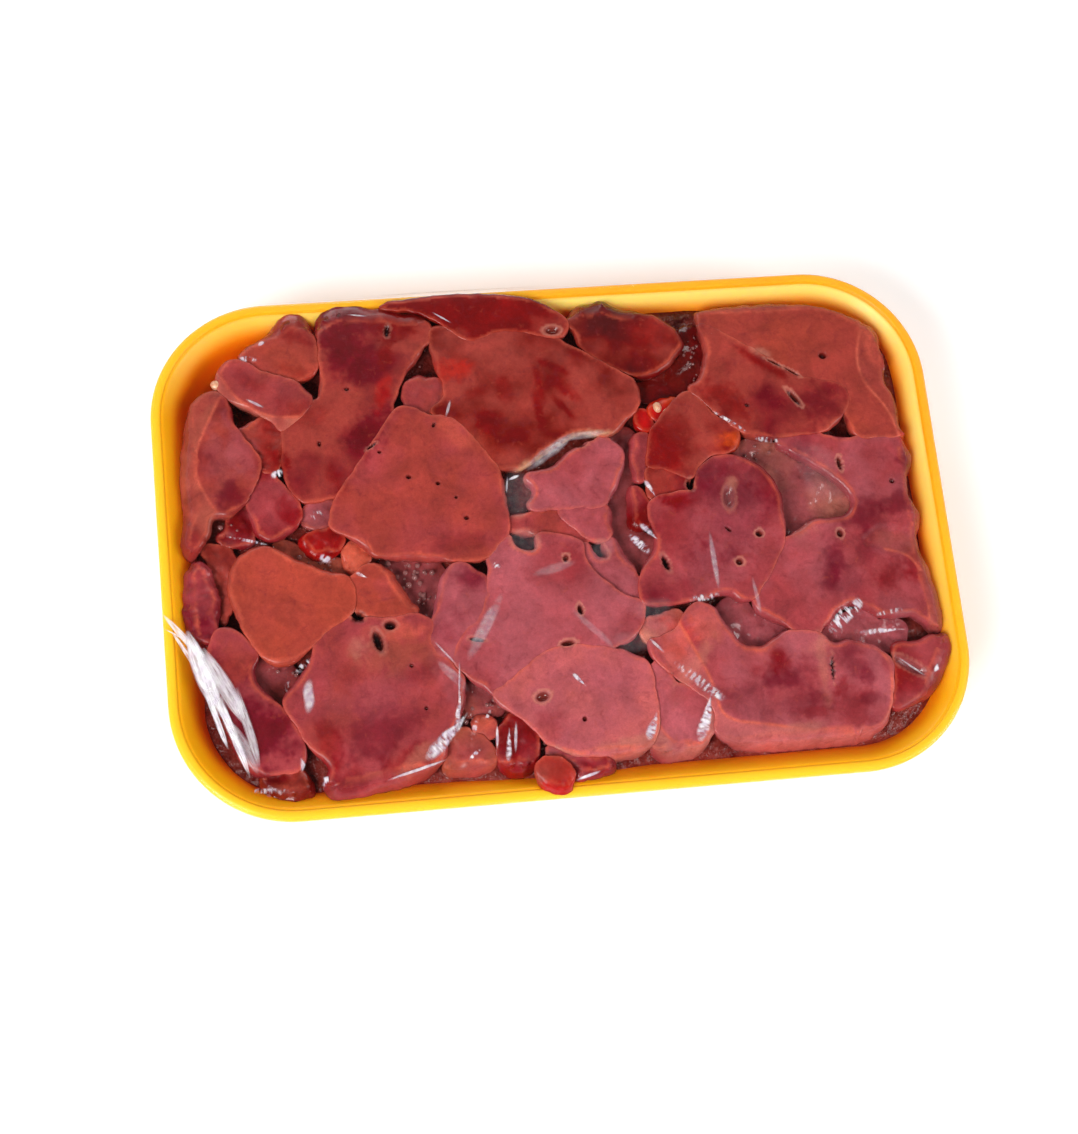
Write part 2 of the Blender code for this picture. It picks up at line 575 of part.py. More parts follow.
def film_rings(offset):
    """Loops and heights of one face of the film, from the hem under the tray to the dome."""
    hem = TRAY_BASE - FILM_CLEARANCE - offset
    side = FILM_CLEARANCE + offset
    rings = [(rim_loop(FILM_HEM), [hem] * 48)]
    rings.append((rim_loop(15.8), [hem] * 48))
    rings.append((rim_loop(12.2 - 0.7 * side), [TRAY_BASE + 1.2 - 0.7 * side] * 48))
    rings.append((rim_loop(-side), [RIM_TOP - 3.2] * 48))
    rings.append((rim_loop(-side), [RIM_TOP - 0.8] * 48))
    for distance in (0.5, 2.2, 7.0):
        loop = rim_loop(distance - 0.3 * side)
        height = heap_top(loop[:, 0], loop[:, 1]) + side
        rings.append((loop, height - (0.12 if distance < 1 else 0)))
    return rings


def add_film(collection):
    """The clear wrap: over the heap, round the rim and folded under the tray, open in the middle."""
    bm = bmesh.new()
    faces = []
    for offset in (FILM_THICKNESS, 0.0):
        loops = film_rings(offset)
        rings = [ring_of(bm, loop, heights) for loop, heights in loops]
        edge = loops[-1][0]
        inner = inner_points(edge, 15.0)
        heights = heap_top(inner[:, 0], inner[:, 1]) + FILM_CLEARANCE + offset
        dome = rings[-1] + ring_of(bm, inner, heights)
        faces.append((rings, dome, triangles_over(edge, inner)))
    (outer, outer_dome, outer_cap), (inner_side, inner_dome, inner_cap) = faces
    for lower, upper in zip(outer, outer[1:]):
        join_rings(bm, lower, upper)
    for lower, upper in zip(inner_side, inner_side[1:]):
        join_rings(bm, upper, lower)
    join_rings(bm, inner_side[0], outer[0])
    for corners in outer_cap:
        bm.faces.new([outer_dome[corner] for corner in corners])
    for corners in inner_cap:
        bm.faces.new([inner_dome[corner] for corner in reversed(corners)])
    add_object("film", bm, collection, COLOURS["film"], roughness=0.1, alpha=0.25)


def add_bed(collection):
    """The lower layer of livers, which fills the tray under the pieces that show."""
    bm = bmesh.new()
    rings = []
    for distance, lift in ((20.5, 0), (17.2, 1.0), (15.2, 6.4)):
        loop = rim_loop(distance)
        floor = tray_surface(loop[:, 0], loop[:, 1]) + CLEARANCE
        rings.append(ring_of(bm, loop, floor + lift * 0.2))
    brim = rim_loop(14.6)
    rings.append(ring_of(bm, brim, heap_top(brim[:, 0], brim[:, 1]) - BED_DEPTH - 0.6))
    edge = rim_loop(19.0)
    rings.append(ring_of(bm, edge, heap_top(edge[:, 0], edge[:, 1]) - BED_DEPTH))
    for lower, upper in zip(rings, rings[1:]):
        join_rings(bm, lower, upper)
    inner = inner_points(edge, 18.0)
    top = rings[-1] + ring_of(bm, inner, heap_top(inner[:, 0], inner[:, 1]) - BED_DEPTH)
    for corners in triangles_over(edge, inner):
        bm.faces.new([top[corner] for corner in corners])
    bm.faces.new(rings[0][::-1])
    bmesh.ops.triangulate(bm, faces=[face for face in bm.faces if len(face.verts) > 4])
    add_object("liver_bed", bm, collection, COLOURS["liver_bed"])


def main():
    for obj in list(bpy.data.objects):
        bpy.data.objects.remove(obj)
    collection = bpy.data.collections.new("chicken_liver_pack")
    bpy.context.scene.collection.children.link(collection)
    outlines = [outline_of(points) for _, _, points in LIVERS]
    settle(outlines)
    add_tray(collection)
    add_bed(collection)
    for index in range(len(LIVERS)):
        add_liver(index, outlines, collection)
    add_film(collection)


main()
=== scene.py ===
"""Looks of the chicken liver tray pack: livers, juice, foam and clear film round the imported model."""

import math
import random

import bmesh
import bpy
import numpy as np
from mathutils import Matrix, Vector, noise
from mathutils.geometry import delaunay_2d_cdt, interpolate_bezier


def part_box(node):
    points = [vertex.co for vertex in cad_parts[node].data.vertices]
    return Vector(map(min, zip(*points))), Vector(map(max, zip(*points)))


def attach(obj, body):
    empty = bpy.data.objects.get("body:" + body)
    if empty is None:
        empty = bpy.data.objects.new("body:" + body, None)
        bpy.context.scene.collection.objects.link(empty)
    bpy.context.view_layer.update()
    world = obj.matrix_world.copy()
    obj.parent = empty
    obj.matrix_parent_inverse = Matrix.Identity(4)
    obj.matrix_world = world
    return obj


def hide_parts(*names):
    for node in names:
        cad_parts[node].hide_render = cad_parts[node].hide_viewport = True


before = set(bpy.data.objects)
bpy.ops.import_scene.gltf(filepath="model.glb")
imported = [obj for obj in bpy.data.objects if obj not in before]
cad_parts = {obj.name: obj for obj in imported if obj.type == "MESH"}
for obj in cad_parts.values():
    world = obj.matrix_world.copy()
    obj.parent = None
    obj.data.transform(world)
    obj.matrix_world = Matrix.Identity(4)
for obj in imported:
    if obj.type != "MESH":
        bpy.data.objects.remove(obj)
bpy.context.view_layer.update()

# Sizes are in millimetres, and turned into metres where a mesh is made
METRES = 0.001

# Tray and heap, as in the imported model
tray_low, tray_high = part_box("tray")
LENGTH = (tray_high[0] - tray_low[0]) / METRES
WIDTH = (tray_high[1] - tray_low[1]) / METRES
RIM_TOP = tray_high[2] / METRES
TRAY_BASE = tray_low[2] / METRES
CORNER_RADIUS = 34.0
CROWN = 6.0
CROWN_SHARPNESS = 3.2
LAYER_THICKNESS = 12.0
RIM_LIFTS = (
    (-22.0, 73.0, 26.0, 8.0, 1.9), (-9.5, -72.0, 22.0, 8.0, 1.9),
)
TRAY_INSIDE = (
    (0.7, RIM_TOP - 0.15), (1.1, RIM_TOP), (2.6, RIM_TOP), (2.95, RIM_TOP - 0.75), (3.5, RIM_TOP - 0.7),
    (7.6, RIM_TOP - 4.6), (11.2, RIM_TOP - 10.6), (13.8, RIM_TOP - 17.6), (16.0, TRAY_BASE + 4.6),
    (20.0, TRAY_BASE + 3.4),
)
TRAY_OUTSIDE = (
    (0.0, RIM_TOP - 0.9), (0.0, RIM_TOP - 2.9), (0.7, RIM_TOP - 3.7), (3.4, RIM_TOP - 4.3),
    (6.6, RIM_TOP - 11.0), (9.8, RIM_TOP - 19.0), (12.6, TRAY_BASE + 1.6), (15.4, TRAY_BASE),
)

# Fineness of the meshes: how far apart their points lie
OUTLINE_STEP = 0.7
CURVE_STEP = 0.6
FACE_STEP = 0.85
JUICE_STEP = 2.2
BED_STEP = 4.0
FILM_STEP = 1.7
GLINT_STEP = 0.28
WALL_STEP = 1.0
SIDE_STEP = 6.0
FILM_SIDE_STEP = 3.0
ARC_STEPS = 24
SMALLEST_RADIUS = 0.5
PROFILE_RADIUS = 1.4
MESH_FUSE = 1e-7

# Livers grow a little from their packed outline to close the seams, and have a slightly ragged edge
SEAM_CLOSING = 0.32
SMALL_CLOSING = 0.75
UNDER_CLOSING = 1.3
RAGGED_EDGE = 0.35
SMALL_RAGGED_EDGE = 0.56
SMALL_AREA = 230.0

# Width of the rounded edge: against a neighbour, at a gap, and against the tray's wall
TIGHT_EDGE = 0.36
GAP_EDGE = 1.5
SMALL_EDGE = 2.6
WALL_EDGE = 5.0
THINNEST_EDGE = 0.15
EDGE_SHARE = 0.36
EDGE_DROP = 1.25
DEEPEST_DROP = 7.0
EDGE_ROWS = (0.0, 0.04, 0.15, 0.34, 0.62, 1.0)
SMOOTHING_ROUNDS = 6
GAP_RANGE = (0.5, 3.0)
WALL_BAND = (7.5, 11.5)
NEIGHBOUR_DROP = 2.2
NEIGHBOUR_REACH = 8.0
FOOT_DROP = 3.0

# Height of the lumps on small livers, more in the wet near and left gaps
LUMPY = ("liver_near", "liver_left", "liver_over_near")
LUMPS = 1.1
FAINT_LUMPS = 0.32

# A distance that stands for no neighbour in reach, and a gap that keeps skins apart
FAR = 99.0
SKIN = 0.15


def srgb(red, green, blue):
    """A colour as seen on a screen, 0 to 255, as linear light."""
    return tuple(
        (c / 255 / 12.92) if c <= 10 else ((c / 255 + 0.055) / 1.055) ** 2.4 for c in (red, green, blue)
    )


# The lilac tone is partly the livers' own colour and partly a painted reflection: the film's pale haze over
# them
TONES = {
    "brick": srgb(162, 69, 61), "rose": srgb(160, 69, 72), "lilac": srgb(172, 88, 94),
    "orange": srgb(170, 73, 59), "tan": srgb(166, 84, 68), "dark": srgb(98, 20, 18),
    "plum": srgb(102, 24, 38), "blood": srgb(122, 14, 20), "scarlet": srgb(190, 34, 26),
    "bright_orange": srgb(214, 84, 40), "murky": srgb(152, 78, 80), "brown": srgb(112, 40, 32),
    "pit": srgb(48, 18, 18), "pale": srgb(196, 122, 104), "cream": srgb(226, 182, 142),
    "salmon": srgb(214, 100, 78), "flesh": srgb(190, 96, 92),
}

# Light that the film and the wet surface add over a liver's own colour, taken off its tones
VEIL = (0.010, 0.016, 0.015)
DARKEST = 0.003

# Looks and level of each liver: (main tone, second tone that clouds it, level from 0 on top to 2 below)
LOOKS = {
    "liver_left": ("brick", "plum", 0), "liver_far_left_slant": ("brick", "rose", 0),
    "liver_far_left_dark": ("brick", "plum", 2), "liver_far_left_small": ("brick", "orange", 1),
    "liver_over_far_rim": ("blood", "brick", 0), "liver_middle_broad": ("brick", "rose", 0),
    "liver_far_middle": ("brick", "dark", 1), "liver_far_middle_dark": ("dark", "brick", 1),
    "liver_far_right": ("brick", "orange", 1), "liver_far_right_inner": ("brick", "plum", 0),
    "liver_right": ("rose", "lilac", 2), "liver_orange_tip": ("brick", "blood", 0),
    "liver_orange_tip_small": ("brick", "blood", 1), "liver_middle_right": ("rose", "plum", 0),
    "liver_middle_pale": ("lilac", "rose", 1), "liver_middle_lens": ("rose", "brick", 1),
    "liver_near_right": ("lilac", "rose", 0), "liver_middle_lilac": ("lilac", "rose", 2),
    "liver_middle_lilac_small": ("rose", "lilac", 0), "liver_middle_wedge": ("lilac", "rose", 2),
    "liver_near_middle": ("lilac", "flesh", 0), "liver_left_lilac": ("lilac", "plum", 0),
    "liver_near_narrow": ("lilac", "rose", 2), "liver_small_bridge": ("pale", "lilac", 1),
    "liver_near_right_corner": ("rose", "blood", 0), "liver_near_left_broad": ("rose", "brick", 1),
    "liver_orange": ("orange", "brick", 0), "liver_orange_small": ("orange", "brick", 1),
    "liver_near_left_edge": ("rose", "plum", 0), "liver_near_left_scrap": ("brown", "brick", 1),
    "liver_left_edge": ("rose", "plum", 1), "liver_left_under": ("brick", "dark", 1),
    "liver_left_knob": ("brick", "blood", 1), "liver_left_round": ("rose", "blood", 1),
    "liver_left_wet": ("blood", "murky", 1), "liver_left_grey": ("murky", "lilac", 1),
    "liver_left_bright": ("blood", "scarlet", 1), "liver_left_tag": ("salmon", "orange", 1),
    "liver_far_knob": ("rose", "brick", 1), "liver_sliver_near": ("blood", "rose", 1),
    "liver_sliver_far": ("rose", "blood", 1), "liver_bright_bead": ("scarlet", "blood", 1),
    "liver_bright_shred": ("scarlet", "bright_orange", 1), "liver_near_tan": ("tan", "rose", 1),
    "liver_near_red": ("rose", "salmon", 1), "liver_near_dark": ("blood", "rose", 1),
    "liver_over_near_rim": ("brick", "scarlet", 1), "liver_near_strip": ("lilac", "blood", 1),
    "under_far_right": ("brown", "dark", 1), "under_right": ("murky", "pale", 1),
    "under_near_right": ("lilac", "murky", 1), "under_right_corner": ("lilac", "murky", 1),
    "under_left_middle": ("murky", "brown", 1), "under_middle": ("murky", "brown", 1),
    "under_left": ("tan", "brick", 1), "under_near_left": ("murky", "brown", 1),
    "under_near_middle": ("murky", "tan", 1),
}

# Painted patches: (x, y, half length, half width, turn in degrees, tone, strength)
PATCHES = (
    (-55, 65, 12, 9, 0, "plum", 0.75), (-58, 57, 5, 8, 10, "plum", 0.7), (-42, 66, 6, 8, 60, "blood", 0.6),
    (-54, 50, 5, 3, 0, "plum", 0.5), (-51, 33, 5.5, 10, -35, "plum", 0.85),
    (-70, 40, 7, 4, -20, "blood", 0.35), (-94, 27, 4.5, 12, 0, "murky", 0.5),
    (-91, 17, 4, 5, 20, "plum", 0.75), (-88, 40, 2.5, 4, 0, "blood", 0.6),
    (-72, 57, 6, 5, 0, "orange", 0.6), (-74, 66, 9, 2.5, -25, "blood", 0.5),
    (-77, 25, 2, 4, 0, "blood", 0.7), (-76, 12, 3, 5, 20, "blood", 0.6),
    (-18.5, 33, 3.6, 3.6, 0, "blood", 0.9), (-3.5, 35.5, 1.1, 6.0, 6, "blood", 0.95),
    (4, 35.5, 1.1, 4, 35, "blood", 0.85), (-2.4, 44, 1.1, 6, 6, "blood", 0.9),
    (2.8, 43, 1.3, 5, 40, "blood", 0.85), (1.5, 49, 1.3, 6, 60, "blood", 0.8),
    (-26.5, 50, 5.5, 3.5, 0, "scarlet", 0.55), (-9, 44, 9, 9, 0, "brick", 0.3),
    (-42, 10, 14, 10, 0, "brick", 0.3), (-24, 22, 8, 8, 0, "orange", 0.3), (17, 62, 9, 5, 0, "pit", 0.35),
    (31, 59, 8, 6, -30, "blood", 0.5), (-20, 68, 30, 3, 0, "blood", 0.5), (79, 32, 8, 6, -20, "plum", 0.65),
    (52, 34, 9, 5, -40, "blood", 0.6), (63, 46, 9, 1.5, -38, "blood", 0.7),
    (63.5, 49.5, 3, 1.6, -30, "pale", 0.8), (80, 52, 10, 6, 0, "orange", 0.2),
    (97, 52, 2, 8, 5, "salmon", 0.4), (34, 24, 6, 9, 0, "blood", 0.55),
    (51, 22.5, 4, 3, 20, "bright_orange", 0.75), (34, 5.5, 7, 2.8, 0, "blood", 0.85),
    (48, 0, 12, 14, 0, "lilac", 0.45), (40, -15, 10, 7, 0, "lilac", 0.4), (30, -2, 5, 8, 0, "blood", 0.35),
    (49.5, 10, 1.6, 1.8, 0, "pale", 0.8), (75.5, -15.5, 3.2, 7.5, -8, "plum", 0.95),
    (86, -12, 4, 6, 0, "plum", 0.45), (92, -20, 5, 4, 30, "blood", 0.55), (100, -17, 3, 7, 0, "blood", 0.6),
    (98, 2, 6, 3, 20, "plum", 0.6), (88, -4, 6, 5, 0, "plum", 0.35), (70, -12, 7, 10, 0, "lilac", 0.35),
    (-6, -12, 6, 7, 0, "rose", 0.4), (-8, -25, 14, 8, 0, "lilac", 0.45), (2, -12, 4, 6, 0, "blood", 0.3),
    (30, -33, 5, 6, 0, "scarlet", 0.45), (27, -38, 4, 7, -30, "salmon", 0.35),
    (60, -47, 6, 4, 20, "plum", 0.5), (60, -55, 5, 4, 0, "plum", 0.4), (76, -57, 6, 5, 0, "blood", 0.5),
    (78, -46, 5, 4, 0, "plum", 0.5), (68.5, -46, 1.4, 9, 0, "pale", 0.35), (46, -52, 7, 6, 0, "plum", 0.35),
    (60, -66, 20, 1.6, 0, "salmon", 0.3), (0, -52, 14, 8, 0, "lilac", 0.4),
    (-9, -56, 5, 4, 0, "blood", 0.35), (-50, -45, 14, 10, 0, "rose", 0.3),
    (-56, -53, 12, 8, 10, "plum", 0.6), (-50, -33, 12, 5, 0, "tan", 0.6),
    (-48, -61, 8, 4, 20, "blood", 0.45), (-63, -40, 4, 7, 0, "plum", 0.3),
    (-44, -38, 6, 3, 20, "plum", 0.35), (-60, -30, 3, 3, 0, "pale", 0.5),
    (-50, -26, 8, 3, 0, "salmon", 0.4), (-70, -56, 4, 8, 10, "blood", 0.5),
    (-66, -66, 6, 4, 0, "blood", 0.5), (-88, -50, 8, 11, 0, "plum", 0.9),
    (-94, -31, 5, 6, 0, "orange", 0.5), (-75, -14, 10, 12, 0, "orange", 0.4),
    (-72, -26, 6, 4, 0, "brick", 0.4), (-51, -13, 3, 4, 0, "rose", 0.5), (-28, -12, 4, 3, 0, "plum", 0.6),
    (-30, -2, 8, 3, 0, "plum", 0.3), (-28, 30, 6, 3, -50, "salmon", 0.3),
    (-9, 18.5, 3.2, 1.3, 30, "cream", 0.6), (-3, 21.6, 4.5, 1.4, 34, "cream", 0.7),
    (4, 25.2, 4.5, 1.3, 26, "cream", 0.7), (12, 27.2, 5.5, 1.0, -2, "cream", 0.6),
    (-12, 42, 2.6, 4, 30, "blood", 0.5), (-20, 42, 4, 1.6, 20, "blood", 0.35),
    (7, 40, 1.6, 4, 40, "blood", 0.45), (-62, 18, 3, 5, 20, "blood", 0.4),
    (-70, 52, 6, 2, -30, "blood", 0.35), (-47, 44, 2, 7, -20, "scarlet", 0.4),
    (-45, 57, 2.6, 6, -15, "blood", 0.6), (72, 20, 3, 5, -30, "plum", 0.5),
    (45, 8, 10, 4, -20, "plum", 0.4), (60, 8, 3, 8, 10, "blood", 0.3), (86, -2, 7, 4, 30, "plum", 0.55),
    (104, 30, 2, 6, 0, "blood", 0.5), (102, 14, 3, 4, 30, "plum", 0.7), (103, 20, 2, 3, 0, "scarlet", 0.6),
    (78, -22, 8, 4, 0, "plum", 0.35), (53, -49, 3, 3, 0, "plum", 0.6), (66, -54, 3, 2, 20, "plum", 0.5),
    (73, -51, 2, 3, 0, "blood", 0.6), (82, -55, 4, 2, 0, "plum", 0.5), (56, -41, 3, 2, 20, "blood", 0.5),
    (64, -58, 5, 1.6, 0, "blood", 0.5), (35, -31, 6, 5, -30, "salmon", 0.4),
    (32, -42, 2.2, 8, -38, "pale", 0.5), (12, -62, 9, 1.6, 5, "pale", 0.5),
    (50, -38, 4, 3, 0, "salmon", 0.35), (42, -44, 4, 3, 40, "lilac", 0.5), (48, -55, 5, 3, 0, "lilac", 0.4),
    (70, -38, 5, 2, 20, "pale", 0.25), (56, -62, 12, 1.5, 2, "pale", 0.4),
    (92, -10, 5, 2.5, 60, "lilac", 0.4), (68, -2, 4, 6, 0, "pale", 0.25), (74, 6, 5, 4, 0, "lilac", 0.4),
    (-35, -40, 4, 8, 20, "lilac", 0.45), (-58, -44, 12, 6, 0, "lilac", 0.3),
    (-88, 30, 4, 9, 15, "lilac", 0.45), (-68, 8, 2, 2, 0, "murky", 0.5), (-46, -61, 7, 2, 40, "pale", 0.4),
    (-10, -73, 6, 2.4, 0, "scarlet", 0.9), (-84, 50, 5, 2.4, -35, "blood", 0.35),
    (57, -43, 3.5, 3, 20, "blood", 0.6), (61, -49, 4, 3, -30, "plum", 0.45),
    (81, -49, 2.6, 2.2, 0, "plum", 0.55), (77, -41, 3, 2, 0, "plum", 0.5), (87, -45, 2, 4, 0, "blood", 0.4),
    (49, -45, 2.4, 2, 0, "blood", 0.4),
)

# Where the film's contact ends on a liver: line with the free side on its right, width of that side,
# its tone and strength
CONTACTS = {
    "liver_left": (
        ((-93, 46), (-98.1, 36.5), (-101, 29.4), (-100.7, 22.8), (-98.1, 16.6), (-94.2, 10.5), (-87.8, 11.9)),
        6.0, "tan", 0.6,
    ),
    "liver_far_left_slant": (
        ((-91.8, 52.1), (-89.3, 47.1), (-84, 41.7), (-77.9, 38.8), (-71.4, 38.5)), 3.0, "pale", 0.4,
    ),
    "liver_far_right": (
        ((101.6, 17.8), (100.9, 25.4), (98.2, 31.8), (92.9, 38.4), (91.9, 46.2), (94.2, 53.9)),
        6.0, "brick", 0.4,
    ),
    "liver_right": (
        ((101.8, -32.8), (102.5, -25), (101.5, -18.9), (98.3, -14.1), (91.8, -12.4)), 5.0, "tan", 0.4,
    ),
    "liver_near_right": (
        (
            (28.1, -28), (31.7, -35.9), (34.9, -43), (37.2, -50), (38, -56), (42, -58.7), (49, -59.7),
            (60.4, -62.2), (75.3, -64.5), (81.9, -63.4), (86.4, -59.4), (87.9, -51.4), (88, -45.6),
            (85.7, -42), (82.3, -40.4),
        ),
        7.0, "flesh", 0.6,
    ),
    "liver_near_middle": (
        ((-6.4, -62.1), (-2, -63.8), (4.6, -66.1), (12.7, -64.2), (18.9, -62), (20.4, -54.9)),
        4.0, "pale", 0.5,
    ),
    "liver_near_narrow": (
        ((20.4, -57.7), (23.1, -62.1), (27.5, -63.8), (31.9, -63.9), (34, -61), (35.3, -55.5)),
        4.0, "pale", 0.45,
    ),
}
CONTACT_ROWS = (-0.75, -0.28, 0.0, 0.28, 0.75)
CONTACT_CLEAR = 1.0
CONTACT_SLOPE = 0.11
CONTACT_LINE = 0.75

# Vein holes and cuts: (x, y, half length, half width, turn in degrees, depth, kind)
HOLES = (
    (-42, 18, 0.8, 0.65, 0, 1.4, "vein"), (-34, 15.5, 0.7, 0.6, 0, 1.2, "vein"),
    (-49.5, 26, 0.6, 0.5, 0, 1.0, "vein"), (-27, 4.8, 0.8, 0.7, 0, 1.2, "vein"),
    (-33.5, 33, 0.9, 0.5, 60, 1.0, "vein"), (-29.3, 11, 0.5, 0.5, 0, 0.8, "vein"),
    (-51.5, 28, 1.6, 0.4, 35, 1.4, "cut"), (-57, 46, 0.8, 0.6, 0, 1.0, "vein"),
    (-66, 30, 0.6, 0.9, 0, 1.0, "vein"), (-44, 63.5, 0.8, 1.9, -10, 1.4, "cut"),
    (3.5, 60.3, 2.2, 1.3, 0, 1.2, "ring"), (82, 47.5, 1.3, 1.1, 0, 2.0, "vein"),
    (67, 45.8, 2.6, 0.4, -32, 1.0, "ring"), (71.8, 42.8, 2.6, 0.4, -36, 1.0, "ring"),
    (71.2, 34.6, 3.1, 0.8, -56, 1.6, "ring"), (82, 14, 0.8, 2.1, 4, 1.8, "ring"),
    (79, -7, 1.0, 1.2, 0, 1.8, "ring"), (37.4, 10, 1.0, 1.7, 0, 3.0, "cut"),
    (27.5, -12.5, 0.9, 2.4, 18, 2.4, "cut"), (48, 5.5, 1.6, 3.2, -6, 1.8, "grey"),
    (55.3, -5.8, 1.1, 1.0, 0, 2.2, "ring"), (48.5, -13.7, 1.1, 1.0, 0, 1.8, "ring"),
    (46.5, -4, 1.2, 0.5, -40, 1.0, "vein"), (2, -24, 0.8, 1.5, 8, 2.4, "ring"),
    (-27.5, -30.2, 2.1, 0.6, -12, 2.2, "cut"), (-2.5, -33.2, 2.0, 0.8, 5, 2.2, "ring"),
    (-0.5, -9, 0.8, 1.1, -20, 1.2, "ring"), (10.2, -7.2, 1.3, 2.4, 30, 2.4, "grey"),
    (-11, -47.5, 2.0, 1.4, 15, 1.4, "ring"), (0, -54.5, 0.7, 0.8, 0, 1.2, "vein"),
    (-59.3, -21, 1.6, 1.3, -8, 2.8, "cut"), (-50.8, -24.2, 1.7, 1.3, 0, 2.8, "cut"),
    (-54.5, -28.3, 1.3, 3.1, 14, 3.0, "cut"), (-43, -48, 0.6, 0.6, 0, 0.8, "vein"),
    (-46, -36, 0.6, 0.6, 0, 0.8, "vein"), (7.5, 24.4, 1.8, 0.8, 0, 1.6, "grey"),
    (71.2, -46, 0.35, 3.6, -4, 1.0, "cut"), (-12.2, 11, 2.6, 5.2, 0, 5.0, "grey"),
    (-11.4, -3, 3.2, 2.4, -20, 4.0, "grey"), (97, 8, 0.9, 0.8, 0, 1.0, "vein"),
    (94.2, -46.6, 5.2, 1.5, -32, 2.4, "grey"), (57, 33, 0.7, 0.6, 0, 1.0, "vein"),
)

# Tone of each kind of hole and the strength of its pale rim
HOLE_LOOKS = {"vein": ("dark", 0.0), "ring": ("brown", 0.75), "cut": ("pit", 0.4), "grey": ("murky", 0.4)}
HOLE_RINGS = (0.4, 0.75, 1.0, 1.3)
HOLE_STEP = 0.5
HOLE_REACH = 2.2
HOLE_CLEAR = 1.5
HOLE_SHARPNESS = 11
HOLE_TONE_SHARPNESS = 12

# The paler line along an edge, where the film lets go of a liver
LINE_WIDTH = 0.42
LINE_STRENGTH = 0.6

# How much lower each level lies, and how far its edges reach under the one above
LEVEL_STEP = 0.16
OVERLAP = 1.2

# How sharply the painted patches end, and how uneven their outline is
PATCH_SHARPNESS = 6.5
PATCH_WOBBLE = 0.55
PATCH_RAGGED = 0.35


def depth_inside(x, y):
    """How far inside the outer edge of the tray's rim a point lies."""
    over_x = np.abs(x) - (LENGTH / 2 - CORNER_RADIUS)
    over_y = np.abs(y) - (WIDTH / 2 - CORNER_RADIUS)
    round_part = np.hypot(np.maximum(over_x, 0), np.maximum(over_y, 0))
    return CORNER_RADIUS - round_part - np.minimum(np.maximum(over_x, over_y), 0)


def tray_surface(x, y):
    """Height of the tray's inside."""
    distances, heights = zip(*TRAY_INSIDE)
    return np.interp(depth_inside(x, y), distances, heights)


def heap_top(x, y):
    """Height to which the livers reach, just under the film."""
    along = np.minimum(np.abs(x) / (LENGTH / 2), 1) ** CROWN_SHARPNESS
    across = np.minimum(np.abs(y) / (WIDTH / 2), 1) ** CROWN_SHARPNESS
    top = RIM_TOP + CROWN * (1 - along) * (1 - across)
    for mid_x, mid_y, reach_x, reach_y, height in RIM_LIFTS:
        top = top + height * np.exp(-(((x - mid_x) / reach_x) ** 4) - ((y - mid_y) / reach_y) ** 2)
    return top


def clouds(x, y, size, seed, detail):
    """Smooth noise from about -1 to 1 with clouds of a given size, at each point."""
    return np.array([
        noise.fractal(Vector((a / size + seed, b / size - seed, seed * 0.7)), 1.0, 2.0, detail)
        for a, b in zip(np.atleast_1d(x), np.atleast_1d(y))
    ])


def signed_area(loop):
    """Area inside a loop, more than zero where it runs counterclockwise."""
    following = np.roll(loop, -1, axis=0)
    return np.sum(loop[:, 0] * following[:, 1] - loop[:, 1] * following[:, 0]) / 2


def even_points(line, step, is_closed):
    """Points at even steps along a line. A closed one leaves out its last point."""
    travelled = np.concatenate([[0], np.cumsum(np.hypot(*np.diff(line, axis=0).T))])
    count = max(12, round(travelled[-1] / step))
    places = np.linspace(0, travelled[-1], count, endpoint=not is_closed)
    return np.column_stack([np.interp(places, travelled, line[:, axis]) for axis in (0, 1)])


def smooth_loop(points):
    """A dense closed curve through the points, counterclockwise."""
    loop = [Vector(point) for point in points]
    heading = [(loop[(i + 1) % len(loop)] - loop[i - 1]).normalized() for i in range(len(loop))]
    curve = []
    for i, start in enumerate(loop):
        following = (i + 1) % len(loop)
        end = loop[following]
        reach = (end - start).length / 3
        leave, arrive = start + heading[i] * reach, end - heading[following] * reach
        curve += interpolate_bezier(start, leave, arrive, end, 8)[:-1]
    loop = np.array([(point.x, point.y) for point in curve])
    return loop if signed_area(loop) > 0 else loop[::-1]


def nearest_on(loop, points):
    """For each point, its distance to the loop and the index of the side that it is nearest to."""
    distance = np.empty(len(points))
    side = np.empty(len(points), int)
    start = loop[None]
    step = np.roll(loop, -1, axis=0)[None] - start
    length = (step**2).sum(2)
    for first in range(0, len(points), 1500):
        some = points[first : first + 1500]
        away = some[:, None] - start
        share = np.clip((away * step).sum(2) / length, 0, 1)
        gap = away - share[..., None] * step
        reach = (gap**2).sum(2)
        side[first : first + 1500] = reach.argmin(1)
        distance[first : first + 1500] = np.sqrt(reach.min(1))
    return distance, side


def is_inside(loop, points):
    """Whether each point lies inside the loop, by counting the sides that it would cross."""
    x, y = points[:, 0, None], points[:, 1, None]
    start, end = loop, np.roll(loop, -1, axis=0)
    spans = (start[:, 1] > y) != (end[:, 1] > y)
    rise = np.where(end[:, 1] == start[:, 1], 1, end[:, 1] - start[:, 1])
    crossing = start[:, 0] + (y - start[:, 1]) * (end[:, 0] - start[:, 0]) / rise
    return (spans & (x < crossing)).sum(1) % 2 == 1


def clearance(loop, other, reach):
    """How far each point of a loop is from another loop, 0 inside it and FAR out of reach."""
    near = ((loop > other.min(0) - reach) & (loop < other.max(0) + reach)).all(1)
    distance = np.full(len(loop), FAR)
    distance[near] = np.where(is_inside(other, loop[near]), 0, nearest_on(other, loop[near])[0])
    return distance


def inward(loop):
    """Unit vectors that point into a counterclockwise loop at its points."""
    along = np.roll(loop, -1, axis=0) - np.roll(loop, 1, axis=0)
    normal = np.column_stack([-along[:, 1], along[:, 0]])
    return normal / np.maximum(np.hypot(*normal.T), 1e-9)[:, None]


